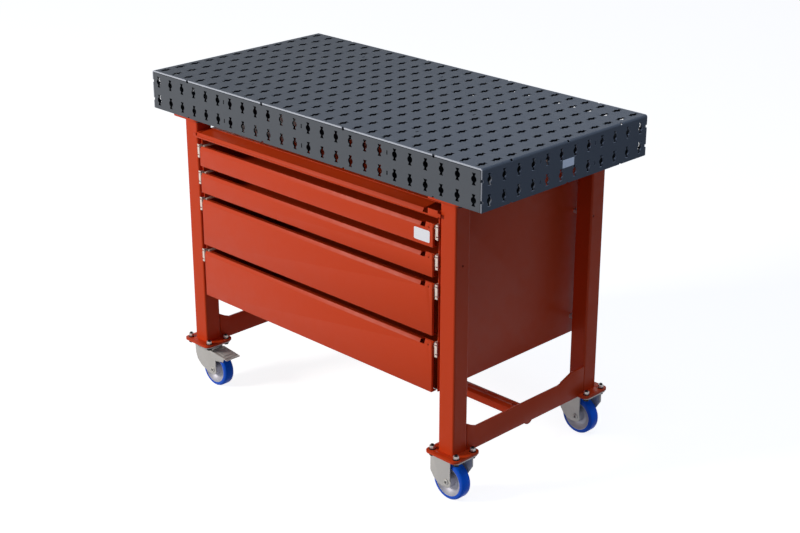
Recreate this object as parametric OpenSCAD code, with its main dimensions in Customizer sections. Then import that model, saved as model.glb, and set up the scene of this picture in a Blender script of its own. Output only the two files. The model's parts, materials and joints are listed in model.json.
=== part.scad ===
// Assembly table: a perforated steel worktop on a four-leg frame with a drawer cabinet and casters.
// Millimetres. The origin is on the floor under the middle of the worktop, X runs along its length,
// Y to the back and Z up. Every piece is drawn where it sits when the drawers are closed.

/* [Worktop] */
// Length of the worktop
top_length = 1200; // [1100:50:1600]
// Depth of the worktop
top_depth = 600; // [550:50:800]
// Height of the worktop box, from the lower edge of its sides to the working face
top_box_height = 104; // [104:2:150]
// Thickness of the worktop sheet
top_sheet = 4; // [3:0.5:6]
// Inner radius of the bend at each end of the worktop
bend_inner_r = 2; // [1:0.5:4]
// Distance from one clamping hole to the next
hole_pitch = 50; // [50:5:100]
// Radius of the round middle of a clamping hole
hole_r = 8; // [6:0.5:9]
// Length of a clamping hole over its two flared ends
hole_length = 29; // [26:1:34]
// Narrowest width of a clamping hole's two necks
hole_neck = 6.5; // [5:0.5:7]
// Width of a clamping hole's flared ends
hole_flare = 11.5; // [9:0.5:12]
// Radius of the round reference notches along the edges
notch_r = 4; // [3:0.5:5]
// Thickness of the ribs under the worktop
rib_sheet = 3; // [2:0.5:4]
// Distance that the ribs stay above the lower edge of the sides
rib_lift = 5; // [3:1:12]

/* [Frame] */
// Width of the square leg tube
leg_size = 50; // [40:5:60]
// Wall of the leg tube
leg_wall = 3; // [2:0.5:5]
// Outer corner radius of the leg tube
leg_corner_r = 5; // [4:0.5:8]
// Length of a leg between its two end plates
leg_length = 654; // [640:2:800]
// Distance from the end of the worktop to the middle of a leg
leg_inset_x = 125; // [100:5:180]
// Distance from the front of the worktop to the middle of a leg
leg_inset_y = 50; // [50:5:80]
// Length of a leg's end plate, along the worktop
plate_length = 105; // [100:5:120]
// Depth of a leg's end plate
plate_depth = 95; // [90:5:100]
// Thickness of a leg's end plate
plate_t = 6; // [4:1:10]
// Corner radius of a leg's end plate
plate_corner_r = 15; // [5:1:18]
// Thickness of the lower crossbars
bar_t = 6; // [4:1:10]
// Height of the lower crossbars
bar_height = 60; // [50:5:80]
// Depth of the bottom rail, front to back
rail_depth = 36; // [30:2:50]
// Height of the bottom rail
rail_height = 22; // [18:1:30]
// Sheet of the bottom rail
rail_sheet = 3; // [2:0.5:4]
// Height of the bottom rail's upper face above the crossbars' lower edge
rail_rise = 32; // [30:1:40]

/* [Bolts] */
// Distance between the bolts of an end plate, along the worktop
bolt_span_x = 80; // [75:5:80]
// Distance between the bolts of an end plate, front to back
bolt_span_y = 60; // [60:2:64]
// Radius of the plate bolts
bolt_r = 4; // [3:0.5:5]
// Clearance round a bolt in its hole
bolt_play = 0.5; // [0.2:0.1:1]

/* [Cabinet] */
// Open height between the cabinet and the worktop box
cabinet_drop = 37; // [20:1:80]
// Gap between the cabinet and the legs on each side
cabinet_gap = 10; // [6:1:20]
// Distance from the front face of the legs back to the front edge of the cabinet sides
cabinet_recess = 7; // [4:1:12]
// Distance from the rear face of the legs forward to the cabinet's back
cabinet_rear_recess = 32; // [20:1:60]
// Sheet of the cabinet
cabinet_sheet = 1.5; // [1:0.5:2]
// Height of the lip above the top drawer, from the cabinet's top face to the lip's lower edge
lip_height = 20; // [18:1:30]

/* [Drawers] */
// Height of the two upper drawer fronts
shallow_front = 60; // [60:5:75]
// Height of the two lower drawer fronts
deep_front = 135; // [100:5:140]
// Gap between two drawer fronts
front_gap = 15; // [10:1:25]
// Distance that the drawer fronts stand out before the legs
front_proud = 7; // [5:1:12]
// Distance from the outside of the cabinet to the side of a drawer front
front_inset = 7.5; // [6:0.5:10]
// Sheet of the drawer fronts
front_sheet = 1.5; // [1:0.5:2]
// Gap between a drawer's tray and the cabinet's back
tray_rear_gap = 26.5; // [10:0.5:60]
// Sheet of a drawer's tray
tray_sheet = 1.2; // [0.8:0.1:2]
// Distance from a front's upper edge down to the crease of its pull
pull_drop = 14.5; // [12:0.5:18]
// Distance that the pull's band slopes back
pull_depth = 12; // [8:1:14]
// Distance that the pull's band rises
pull_rise = 6; // [4:0.5:8]
// Length of the open notch at the right end of the pull
pull_notch = 17; // [12:1:25]
// Length of the flat tab at the right end of the pull
pull_tab = 23.5; // [20:0.5:35]

/* [Slides] */
// Height of a drawer slide
slide_height = 37; // [30:1:38]
// Width of a drawer slide
slide_width = 12.5; // [12:0.1:14]
// Sheet of a drawer slide
slide_sheet = 1.2; // [1:0.1:1.5]
// Length of a closed drawer slide
slide_length = 450; // [400:10:455]
// Distance from a front's upper edge down to the top of its slide
slide_drop = 6; // [6:0.5:8]

/* [Casters] */
// Height of a caster
caster_height = 125; // [125:1:140]
// Radius of a wheel
wheel_r = 50; // [45:1:50]
// Width of a wheel
wheel_width = 32; // [28:1:36]
// Thickness of the tyre
tyre_t = 10; // [6:1:14]
// Distance from the swivel axis to the wheel axis
swivel_trail = 40; // [34:1:42]
// Sheet of the caster plates and forks
caster_sheet = 3; // [2:0.5:4]
// Radius of a wheel axle
axle_r = 6; // [5:0.5:8]

/* [Hidden] */

// Colours
worktop_grey = "#64676a";
frame_orange = "#bb4225";
slide_grey = "#d7c8c0";
zinc = "#afaaa5";
tyre_blue = "#0a46c8";
rim_grey = "#82828a";
bolt_black = "#1c1c1e";
nut_grey = "#a8a6a4";

// Fineness of the round shapes, and the overrun of every cut
$fn = 48;
cut = 1;

// Clearances: between moving sheets, round a running pin, and round a tab in its slot
sheet_play = 0.3;
pin_play = 0.05;
slot_play = 0.2;

// Heights of the main levels above the floor
base_plate_z = caster_height;
leg_z = base_plate_z + plate_t;
flange_z = leg_z + leg_length;
top_box_z = flange_z + plate_t;
top_z = top_box_z + top_box_height;
top_under_z = top_z - top_sheet;

// Worktop grid: the number of holes each way, and the rows down the sides
count_slack_share = 0.001;
columns = floor(top_length / hole_pitch + count_slack_share);
rows = floor(top_depth / hole_pitch + count_slack_share);
side_rows = floor((top_under_z - top_box_z) / hole_pitch + count_slack_share);
neck_share = 1.1;
rib_x_share = [-0.25, 0, 0.25];
rib_y_share = [-1 / 6, 1 / 6];
notch_x_share = [-0.375, -0.125, 0.125, 0.375];
notch_y_share = [-1 / 3, 0, 1 / 3];
skirt_length = top_length - 2 * top_sheet;
bend_outer_r = bend_inner_r + top_sheet;
tab_length = 10;
tab_recess = 2.5;
corner_notch_height = 7;
corner_notch_depth = 4.5;
seam_lap = 1;

// Legs
leg_x = top_length / 2 - leg_inset_x;
leg_y = top_depth / 2 - leg_inset_y;
leg_half = leg_size / 2;
leg_front_y = -leg_y - leg_half;

// Cabinet and drawers: one side of each, and the levels from the top down
cabinet_half = leg_x - leg_half - cabinet_gap;
cabinet_inner = cabinet_half - cabinet_sheet;
cabinet_front_y = leg_front_y + cabinet_recess;
cabinet_back_y = leg_y + leg_half - cabinet_rear_recess;
cabinet_depth = cabinet_back_y - cabinet_front_y;
cabinet_top_z = top_box_z - cabinet_drop;
lip_z = cabinet_top_z - lip_height;
front_y = leg_front_y - front_proud;
front_half = cabinet_half - front_inset;
tray_half = cabinet_inner - slide_width;
pull_back_y = front_y + pull_depth;
pull_flange = 6;
tray_front_y = pull_back_y + pull_flange;
tray_depth = cabinet_back_y - cabinet_sheet - tray_rear_gap - tray_front_y;
tray_lift = 3;
front_heights = [shallow_front, shallow_front, deep_front, deep_front];
slide_front_y = pull_back_y + front_sheet;
cabinet_bottom_z = front_bottom(3);
lip_half = cabinet_half + 0.8 * cabinet_gap;

// Casters
wheel_z = wheel_r;
caster_plate_z = caster_height - caster_sheet;
caster_plate_step = 5;
caster_plate_depth = plate_depth - 2 * caster_plate_step;
hub_proud = 2.7;
hub_half = wheel_width / 2 + hub_proud;
fork_inner = hub_half + sheet_play;
fork_outer = fork_inner + caster_sheet;
kingpin_r = 8;

// Distance from the middle of hole number i to the middle of a row of n holes
function grid_place(n, i) = (i - (n - 1) / 2) * hole_pitch;

// The middle of the web between two holes of a row of n that lies nearest to a place
function web_place(n, place) =
    let (shift = n % 2 == 0 ? 0 : hole_pitch / 2)
    round((place - shift) / hole_pitch) * hole_pitch + shift;

function side_row_z(i) = top_under_z - (i + 0.5) * hole_pitch;
function rib_x(i) = web_place(columns, rib_x_share[i] * top_length);
function rib_y(i) = web_place(rows, rib_y_share[i] * top_depth);

// Upper and lower edge of drawer front number i, counted from the top
function front_top(i) = i == 0 ? lip_z - front_gap : front_bottom(i - 1) - front_gap;
function front_bottom(i) = front_top(i) - front_heights[i];

// A folded sheet: the outline of a line of points given the sheet's thickness on its left side
function unit(v) = v / norm(v);
function edge_normal(p, i) = let (d = unit(p[i + 1] - p[i])) [-d.y, d.x];
function mitre(p, i, t) =
    i == 0 ? p[0] + t * edge_normal(p, 0) :
    i == len(p) - 1 ? p[i] + t * edge_normal(p, i - 1) :
    let (a = edge_normal(p, i - 1), b = edge_normal(p, i)) p[i] + t * (a + b) / (1 + a * b);
function folded(p, t) = concat(p, [for (i = [len(p) - 1:-1:0]) mitre(p, i, t)]);

module rounded_rect(w, d, r) {
    square([w - 2 * r, d], center = true);
    square([w, d - 2 * r], center = true);
    for (x = [-1, 1], y = [-1, 1]) translate([x * (w / 2 - r), y * (d / 2 - r)]) circle(r = r);
}

// Draws a Y-Z outline from x0 to x1
module along_x(x0, x1) {
    translate([x0, 0, 0]) rotate([90, 0, 90]) linear_extrude(height = x1 - x0) children();
}

// Draws an X-Z outline from y0 to y1
module along_y(y0, y1) {
    translate([0, y1, 0]) rotate([90, 0, 0]) linear_extrude(height = y1 - y0) children();
}

module mirrored_x() {
    children();
    mirror([1, 0, 0]) children();
}

module at_legs() {
    for (x = [-1, 1], y = [-1, 1]) translate([x * leg_x, y * leg_y, 0]) children();
}

module at_bolts() {
    for (x = [-1, 1], y = [-1, 1]) translate([x * bolt_span_x / 2, y * bolt_span_y / 2, 0]) children();
}

// Clamping hole: a round middle with a flared key at each end
module clamping_hole() {
    throat = neck_share * hole_r;
    end = hole_length / 2;
    circle(r = hole_r);
    polygon([
        [-hole_flare / 2, end], [hole_flare / 2, end], [hole_neck / 2, throat],
        [hole_neck / 2, -throat], [hole_flare / 2, -end], [-hole_flare / 2, -end],
        [-hole_neck / 2, -throat], [-hole_neck / 2, throat]
    ]);
}

// Holes of one side wall, as an outline with its own up direction along Z
module side_holes(n) {
    for (i = [0:n - 1], j = [0:side_rows - 1])
        translate([grid_place(n, i), side_row_z(j)]) clamping_hole();
}

module rib_slots(places) {
    for (p = places, j = [0:side_rows - 1])
        translate([p, side_row_z(j)])
            square([rib_sheet + 2 * slot_play, tab_length + 2 * slot_play], center = true);
}

module top_sheet_outline() {
    difference() {
        square([top_length - 2 * bend_outer_r, top_depth], center = true);
        for (i = [0:columns - 1], j = [0:rows - 1])
            translate([grid_place(columns, i), grid_place(rows, j)]) clamping_hole();
        for (i = [0:len(rib_x_share) - 1], j = [0:len(notch_y_share) - 1])
            translate([rib_x(i), web_place(rows, notch_y_share[j] * top_depth)])
                square([rib_sheet + 2 * slot_play, tab_length + 2 * slot_play], center = true);
        for (s = notch_x_share, y = [-1, 1])
            translate([web_place(columns, s * top_length), y * top_depth / 2]) circle(r = notch_r);
    }
}

module end_wall_outline() {
    difference() {
        translate([-top_depth / 2, top_box_z]) square([top_depth, top_z - bend_outer_r - top_box_z]);
        side_holes(rows);
        rib_slots([for (i = [0:len(rib_y_share) - 1]) rib_y(i)]);
        for (y = [-1, 1], j = [0:side_rows - 1])
            translate([y * top_depth / 2, side_row_z(j)])
                square([2 * corner_notch_depth, corner_notch_height], center = true);
        for (s = notch_y_share)
            translate([web_place(rows, s * top_depth), top_box_z]) circle(r = notch_r);
    }
}

// The bend between the flat and an end wall, with round notches over its edge; it laps both
module end_bend() {
    difference() {
        along_y(-top_depth / 2, top_depth / 2)
            translate([top_length / 2 - bend_outer_r, top_z - bend_outer_r]) {
                intersection() {
                    difference() {
                        circle(r = bend_outer_r);
                        circle(r = bend_inner_r);
                    }
                    square(bend_outer_r);
                }
                translate([-seam_lap, bend_inner_r]) square([seam_lap, top_sheet]);
                translate([bend_inner_r, -seam_lap]) square([top_sheet, seam_lap]);
            }
        for (s = notch_y_share)
            translate([top_length / 2, web_place(rows, s * top_depth), top_z])
                rotate([0, 45, 0])
                    cylinder(r = notch_r, h = 4 * bend_outer_r, center = true);
    }
}

module top_plate() {
    color(worktop_grey) {
        translate([0, 0, top_under_z]) linear_extrude(height = top_sheet) top_sheet_outline();
        mirrored_x() {
            end_bend();
            along_x(top_length / 2 - top_sheet, top_length / 2) end_wall_outline();
        }
    }
}

// Upright plate along the worktop, its upper corners cut back for the inner bends
module long_plate_outline(lower_z) {
    half = skirt_length / 2;
    polygon([
        [-half, lower_z], [half, lower_z], [half, top_under_z - bend_inner_r],
        [half - bend_inner_r, top_under_z], [bend_inner_r - half, top_under_z],
        [-half, top_under_z - bend_inner_r]
    ]);
}

module skirt() {
    along_y(-top_depth / 2, top_sheet - top_depth / 2) difference() {
        long_plate_outline(top_box_z);
        side_holes(columns);
        rib_slots([for (i = [0:len(rib_x_share) - 1]) rib_x(i)]);
        for (s = notch_x_share, z = [top_box_z, top_under_z])
            translate([web_place(columns, s * top_length), z]) circle(r = notch_r);
    }
}

module front_skirt() {
    color(worktop_grey) skirt();
}

module rear_skirt() {
    color(worktop_grey) mirror([0, 1, 0]) skirt();
}

// Ribs that cross the worktop, notched from below where the long ribs pass
rib_z = top_box_z + rib_lift;
rib_middle_z = (rib_z + top_under_z) / 2;

module cross_ribs() {
    inner = top_depth / 2 - top_sheet;
    color(worktop_grey) for (i = [0:len(rib_x_share) - 1])
        along_x(rib_x(i) - rib_sheet / 2, rib_x(i) + rib_sheet / 2) difference() {
            union() {
                translate([-inner, rib_z]) square([2 * inner, top_under_z - rib_z]);
                for (j = [0:side_rows - 1])
                    translate([0, side_row_z(j)])
                        square([top_depth - 2 * tab_recess, tab_length], center = true);
                for (s = notch_y_share)
                    translate([web_place(rows, s * top_depth) - tab_length / 2, rib_middle_z])
                        square([tab_length, top_z - tab_recess - rib_middle_z]);
            }
            for (j = [0:len(rib_y_share) - 1])
                translate([rib_y(j) - rib_sheet / 2 - slot_play, rib_z - cut])
                    square([rib_sheet + 2 * slot_play, rib_middle_z - rib_z + cut]);
        }
}

module long_ribs() {
    color(worktop_grey) for (i = [0:len(rib_y_share) - 1])
        along_y(rib_y(i) - rib_sheet / 2, rib_y(i) + rib_sheet / 2) difference() {
            union() {
                long_plate_outline(rib_z);
                for (j = [0:side_rows - 1])
                    translate([0, side_row_z(j)])
                        square([top_length - 2 * tab_recess, tab_length], center = true);
            }
            for (j = [0:len(rib_x_share) - 1])
                translate([rib_x(j) - rib_sheet / 2 - slot_play, rib_middle_z])
                    square([rib_sheet + 2 * slot_play, top_under_z - rib_middle_z + cut]);
        }
}

module bolt_holes() {
    at_bolts() circle(r = bolt_r + bolt_play);
}

// Plates that close the four corner bays of the worktop box from below, welded to the walls and
// ribs round them. The legs are bolted to them.
module corner_plates() {
    outer_x = top_length / 2 - top_sheet;
    outer_y = top_depth / 2 - top_sheet;
    inner_x = rib_x(len(rib_x_share) - 1) + rib_sheet / 2;
    inner_y = rib_y(len(rib_y_share) - 1) + rib_sheet / 2;
    color(worktop_grey) for (x = [0, 1], y = [0, 1]) mirror([x, 0, 0]) mirror([0, y, 0])
        translate([0, 0, top_box_z]) linear_extrude(height = plate_t) difference() {
            translate([inner_x, inner_y]) square([outer_x - inner_x, outer_y - inner_y]);
            translate([leg_x, leg_y]) bolt_holes();
        }
}

module end_plate() {
    linear_extrude(height = plate_t) difference() {
        rounded_rect(plate_length, plate_depth, plate_corner_r);
        bolt_holes();
    }
}

module leg_top_flanges() {
    color(frame_orange) at_legs() translate([0, 0, flange_z]) end_plate();
}

module leg_base_plates() {
    color(frame_orange) at_legs() translate([0, 0, base_plate_z]) end_plate();
}

// Cabinet fixing: a screw through the inner wall of each leg into a spacer on the cabinet
fixing_r = 3;
spacer_r = 2.2 * fixing_r;
fixing_front_y = -leg_y;
fixing_rear_y = (leg_y - leg_half + cabinet_back_y) / 2;
fixing_z = cabinet_bottom_z + 0.72 * (cabinet_top_z - cabinet_bottom_z);
fixing_low_z = cabinet_bottom_z + 0.1 * (cabinet_top_z - cabinet_bottom_z);
driver_hole_r = 0.9 * fixing_r;

module leg(x, y) {
    inner_r = max(leg_corner_r - leg_wall, leg_wall / 2);
    hole_y = (y > 0 ? fixing_rear_y : fixing_front_y) - y * leg_y;
    color(frame_orange) translate([x * leg_x, y * leg_y, 0]) difference() {
        translate([0, 0, leg_z]) linear_extrude(height = leg_length) difference() {
            rounded_rect(leg_size, leg_size, leg_corner_r);
            rounded_rect(leg_size - 2 * leg_wall, leg_size - 2 * leg_wall, inner_r);
        }
        for (z = [fixing_z, fixing_low_z]) translate([-x * leg_half, hole_y, z])
            rotate([0, 90, 0]) cylinder(r = fixing_r + bolt_play, h = 4 * leg_wall, center = true);
        translate([x * leg_half, hole_y, fixing_z])
            rotate([0, 90, 0]) cylinder(r = driver_hole_r, h = 4 * leg_wall, center = true);
    }
}

module front_left_leg() {
    leg(-1, -1);
}

module front_right_leg() {
    leg(1, -1);
}

module rear_left_leg() {
    leg(-1, 1);
}

module rear_right_leg() {
    leg(1, 1);
}

// Hexagon bolt pointing up, its head below z = 0
module bolt(head_t, length) {
    translate([0, 0, -head_t]) {
        cylinder(r = 1.85 * bolt_r, h = head_t, $fn = 6);
        cylinder(r = bolt_r, h = head_t + length);
    }
}

module nut(thickness) {
    difference() {
        cylinder(r = 1.85 * bolt_r, h = thickness, $fn = 6);
        translate([0, 0, -cut]) cylinder(r = bolt_r + pin_play, h = thickness + 2 * cut);
    }
}

module flange_bolts() {
    head = 1.3 * bolt_r;
    nut_t = 1.6 * bolt_r;
    color(bolt_black) at_legs() at_bolts() {
        translate([0, 0, flange_z]) bolt(head, 2 * plate_t + 1.4 * nut_t);
        translate([0, 0, flange_z + 2 * plate_t]) nut(nut_t);
    }
}

// Lower crossbar: an upright plate in line with the outer face of the right legs, with a low
// gusset at its front end and a long one at its rear end
front_gusset_share = [[0, 1], [0.57, 0.35], [1, 0]];
front_gusset = [35, 17];
rear_gusset_share = [[1, 0], [0.94, 0.25], [0.61, 0.85], [0.52, 1], [0, 1]];
rear_gusset = [95, 20];

module crossbar(x) {
    face = leg_y - leg_half;
    foot = leg_y - plate_depth / 2;
    bar_top = base_plate_z + bar_height;
    color(frame_orange) along_x(x - bar_t, x) polygon(concat(
        [[-foot, base_plate_z], [foot, base_plate_z], [foot, leg_z], [face, leg_z]],
        [for (i = [len(rear_gusset_share) - 1:-1:0]) let (s = rear_gusset_share[i])
            [face - s.x * rear_gusset.x, bar_top + s.y * rear_gusset.y]],
        [for (i = [len(front_gusset_share) - 1:-1:0]) let (s = front_gusset_share[i])
            [-face + s.x * front_gusset.x, bar_top + s.y * front_gusset.y]],
        [[-face, leg_z], [-foot, leg_z]]
    ));
}

left_bar_x = leg_half - leg_x;
right_bar_x = leg_half + leg_x;

module left_crossbar() {
    crossbar(left_bar_x);
}

module right_crossbar() {
    crossbar(right_bar_x);
}

// Bottom rail: a folded channel, open below, between the two crossbars
rail_offset_y = 2;
rail_front_y = rail_offset_y - rail_depth / 2;
rail_z = base_plate_z + rail_rise;
rail_slope = 13;
rail_slope_drop = 3;
rail_hole_r = 7;
bracket_t = 6;
bracket_width = 35;
bracket_inset = 8;
bracket_y = rail_front_y + rail_depth - bracket_inset;

module bottom_rail() {
    x0 = left_bar_x + bracket_t;
    x1 = right_bar_x - bar_t - bracket_t;
    back = rail_front_y + rail_depth;
    color(frame_orange) difference() {
        along_x(x0, x1) polygon(folded([
            [back, rail_z - rail_height], [back, rail_z], [rail_front_y + rail_slope, rail_z],
            [rail_front_y, rail_z - rail_slope_drop], [rail_front_y, rail_z - rail_height]
        ], rail_sheet));
        translate([x1 - rail_depth, rail_front_y + rail_depth / 2 + rail_slope_drop, rail_z])
            cylinder(r = rail_hole_r, h = 4 * rail_sheet, center = true);
    }
}

module rail_bracket(x) {
    r = bracket_width / 2;
    color(frame_orange) along_x(x, x + bracket_t) {
        translate([bracket_y, base_plate_z + plate_t]) circle(r = r);
        translate([bracket_y - r, base_plate_z + plate_t]) square([bracket_width, rail_rise - plate_t]);
    }
}

module rail_brackets() {
    rail_bracket(left_bar_x);
    rail_bracket(right_bar_x - bar_t - bracket_t);
}

// Cabinet sides, with a hem folded out along the front edge
hem_depth = 10;

module cabinet_side() {
    height = cabinet_top_z - cabinet_sheet - cabinet_bottom_z;
    color(frame_orange) translate([0, cabinet_front_y, cabinet_bottom_z]) {
        translate([cabinet_inner, 0, 0]) cube([cabinet_sheet, cabinet_depth, height]);
        translate([cabinet_inner, 0, 0]) cube([2 * cabinet_sheet, hem_depth, height]);
    }
}

module cabinet_left_side() {
    mirror([1, 0, 0]) cabinet_side();
}

module cabinet_right_side() {
    cabinet_side();
}

module cabinet_back() {
    color(frame_orange) translate([-cabinet_inner, cabinet_back_y - cabinet_sheet, cabinet_bottom_z])
        cube([2 * cabinet_inner, cabinet_sheet, cabinet_top_z - cabinet_sheet - cabinet_bottom_z]);
}

module cabinet_bottom() {
    front = tray_front_y + 2 * cabinet_sheet;
    color(frame_orange) translate([-cabinet_inner, front, cabinet_bottom_z])
        cube([2 * cabinet_inner, cabinet_back_y - cabinet_sheet - front, cabinet_sheet]);
}

// Cabinet top with the lip folded down at its front, notched at its right end like the drawer pulls
lip_crease = 9;
lip_return = 10;
lip_tongue = 9;

module cabinet_top() {
    crease_z = lip_z + lip_crease;
    band_z = crease_z + pull_rise;
    step_y = pull_back_y + 2.5 * cabinet_sheet;
    tab_x = lip_half - 1.35 * pull_tab;
    notch_x = tab_x - pull_notch;
    color(frame_orange) {
        translate([-cabinet_half, step_y, cabinet_top_z - cabinet_sheet])
            cube([2 * cabinet_half, cabinet_back_y - step_y, cabinet_sheet]);
        difference() {
            along_x(-lip_half, notch_x) polygon(folded([
                [step_y + cabinet_sheet, cabinet_top_z], [step_y, cabinet_top_z], [step_y, band_z],
                [pull_back_y, band_z], [front_y, crease_z], [front_y, crease_z - cabinet_sheet]
            ], cabinet_sheet));
            translate([-cabinet_half - cabinet_sheet - sheet_play, cabinet_front_y - sheet_play, lip_z])
                cube([2 * (cabinet_sheet + sheet_play), hem_depth, lip_height - cabinet_sheet]);
        }
        along_x(-lip_half, lip_half) polygon(folded([
            [front_y, crease_z], [front_y, lip_z], [front_y + lip_return, lip_z]
        ], cabinet_sheet));
        translate([tab_x, front_y, lip_z])
            cube([lip_half - tab_x, cabinet_sheet, lip_height]);
        mirrored_x() translate([lip_half - cabinet_sheet, front_y, crease_z - lip_tongue / 2])
            cube([cabinet_sheet + lip_tongue, cabinet_sheet, lip_tongue]);
    }
}

// Spacers on the cabinet sides and the screws that hold them to the legs, two at each leg
module cabinet_spacers() {
    head_t = fixing_r;
    gap = cabinet_gap;
    grip = leg_wall + 0.8 * gap - sheet_play;
    color(nut_grey) mirrored_x() for (y = [fixing_front_y, fixing_rear_y], z = [fixing_z, fixing_low_z])
        translate([cabinet_half, y, z]) rotate([0, 90, 0]) {
            difference() {
                cylinder(r = spacer_r, h = gap);
                translate([0, 0, 0.2 * gap]) cylinder(r = fixing_r + pin_play, h = gap);
            }
            translate([0, 0, gap + leg_wall - grip]) cylinder(r = fixing_r, h = grip);
            translate([0, 0, gap + leg_wall]) cylinder(r = 1.7 * fixing_r, h = head_t);
        }
}

// One member of a slide: a channel with its web from x0 to x0 plus the sheet, its flanges reaching
// to x1, and its height given as half
module channel(x0, x1, half, z, length) {
    web = x1 > x0 ? x0 : x0 - slide_sheet;
    low = min(x0, x1);
    along_y(slide_front_y, slide_front_y + length) translate([0, z]) {
        translate([web, -half]) square([slide_sheet, 2 * half]);
        for (s = [-1, 1]) translate([low, s * (half - slide_sheet / 2) - slide_sheet / 2])
            square([abs(x1 - x0), slide_sheet]);
    }
}

// Places across a slide, from the tray to the cabinet side
outer_half = slide_height / 2;
mid_half = outer_half - slide_sheet - sheet_play;
inner_half = mid_half - slide_sheet - sheet_play;
mid_web_x = cabinet_inner - slide_sheet - sheet_play;

function slide_z(i) = front_top(i) - slide_drop - outer_half;

module outer_slides() {
    color(slide_grey) mirrored_x() for (i = [0:3])
        channel(cabinet_inner, tray_half + 3 * slide_sheet, outer_half, slide_z(i), slide_length);
}

module mid_slides(i) {
    color(slide_grey) mirrored_x()
        channel(mid_web_x, tray_half + 2 * slide_sheet, mid_half, slide_z(i), slide_length);
}

// The inner member also carries the stop plate that closes the slide's front end, which is bent
// out of its web and split by two slanted cuts
stop_bend = 6;
stop_cut_share = [0.72, 0.12];
stop_cut_angle = 35;

module inner_slides(i) {
    back = slide_front_y - sheet_play;
    front = back - slide_sheet;
    side = cabinet_inner - sheet_play;
    stop_half = inner_half - slide_sheet;
    color(slide_grey) mirrored_x() {
        channel(tray_half, mid_web_x - slide_sheet - sheet_play, inner_half, slide_z(i), slide_length);
        difference() {
            translate([0, 0, slide_z(i) - stop_half]) linear_extrude(height = 2 * stop_half)
                polygon([
                    [tray_half, front], [side, front], [side, back], [tray_half + slide_sheet, back],
                    [tray_half + slide_sheet, slide_front_y + stop_bend],
                    [tray_half, slide_front_y + stop_bend]
                ]);
            for (s = [-1, 1])
                translate([side, front, slide_z(i) + s * stop_cut_share[0] * stop_half])
                    rotate([0, stop_cut_angle, 0])
                        cube([slide_width, 4 * slide_sheet, stop_cut_share[1] * stop_half], center = true);
        }
    }
}

// Drawer tray: an open box of sheet
module drawer_box(i) {
    z0 = front_bottom(i) + tray_lift;
    height = front_top(i) - pull_drop + pull_rise - z0;
    color(frame_orange) difference() {
        translate([-tray_half, tray_front_y, z0]) cube([2 * tray_half, tray_depth, height]);
        translate([tray_sheet - tray_half, tray_front_y + tray_sheet, z0 + tray_sheet])
            cube([2 * (tray_half - tray_sheet), tray_depth - 2 * tray_sheet, height]);
    }
}

// Drawer front: a folded sheet whose upper edge slopes back as a pull over nearly its whole length.
// At the right end the pull stops at an open notch, beside a flat tab with a small round hole.
side_return = 7;
tab_hole_r = 2;

module drawer_front(i) {
    top = front_top(i);
    bottom = front_bottom(i);
    crease = top - pull_drop;
    band = crease + pull_rise;
    tab_x = front_half - pull_tab;
    notch_x = tab_x - pull_notch;
    flange_x = sheet_play - tray_half;
    color(frame_orange) {
        along_x(-front_half, notch_x) polygon(folded([
            [pull_back_y, band], [front_y, crease], [front_y, crease - front_sheet]
        ], front_sheet));
        along_x(flange_x, notch_x) translate([pull_back_y - front_sheet / 4, band - front_sheet])
            square([pull_flange + front_sheet / 4, front_sheet]);
        along_x(-front_half, front_half) polygon(folded([
            [front_y, crease], [front_y, bottom], [tray_front_y, bottom]
        ], front_sheet));
        mirrored_x() translate([front_half - front_sheet, front_y, bottom])
            cube([front_sheet, side_return, crease - bottom]);
        along_y(front_y, front_y + front_sheet) difference() {
            polygon([
                [tab_x - pull_rise / 3, crease - front_sheet], [front_half, crease - front_sheet],
                [front_half, top], [tab_x + pull_rise / 3, top], [tab_x - pull_rise / 3, crease]
            ]);
            translate([front_half - pull_tab / 2, top - 2 * pull_rise]) circle(r = tab_hole_r);
        }
    }
}

module drawer_1_box() {
    drawer_box(0);
}

module drawer_2_box() {
    drawer_box(1);
}

module drawer_3_box() {
    drawer_box(2);
}

module drawer_4_box() {
    drawer_box(3);
}

module drawer_1_front() {
    drawer_front(0);
}

module drawer_2_front() {
    drawer_front(1);
}

module drawer_3_front() {
    drawer_front(2);
}

module drawer_4_front() {
    drawer_front(3);
}

module drawer_1_inner_slides() {
    inner_slides(0);
}

module drawer_2_inner_slides() {
    inner_slides(1);
}

module drawer_3_inner_slides() {
    inner_slides(2);
}

module drawer_4_inner_slides() {
    inner_slides(3);
}

module drawer_1_mid_slides() {
    mid_slides(0);
}

module drawer_2_mid_slides() {
    mid_slides(1);
}

module drawer_3_mid_slides() {
    mid_slides(2);
}

module drawer_4_mid_slides() {
    mid_slides(3);
}

// Casters. The outlines of the fork legs are shares of the wheel's radius, X from the wheel's
// middle and Z from the floor; the upper ends meet the plate or the crown.
rigid_near_share = [[-1.07, 1.3], [-0.84, 0.98], [-0.6, 0.78], [-0.36, 0.71], [0, 0.7], [0.25, 1]];
rigid_far_share = [[-0.25, 1], [0, 0.7], [0.25, 0.85], [0.62, 1.34], [0.99, 1.92]];
swivel_leg_share = [
    [-1.5, 2.24], [-1.46, 1.64], [-1.34, 1.28], [-1.02, 1], [-0.74, 0.87], [-0.3, 0.72],
    [0, 0.7], [0.26, 1], [0.26, 1.9], [0.14, 2.06], [-0.1, 2.06], [-0.14, 2.24]
];
lobe_share = 0.3;

module caster_plate() {
    translate([0, 0, caster_plate_z]) linear_extrude(height = caster_sheet) difference() {
        rounded_rect(plate_length, caster_plate_depth, plate_corner_r);
        bolt_holes();
    }
}

module axle_lobe() {
    translate([0, wheel_z]) circle(r = lobe_share * wheel_r);
}

module axle_hole() {
    translate([0, wheel_z]) circle(r = axle_r + pin_play);
}

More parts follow.
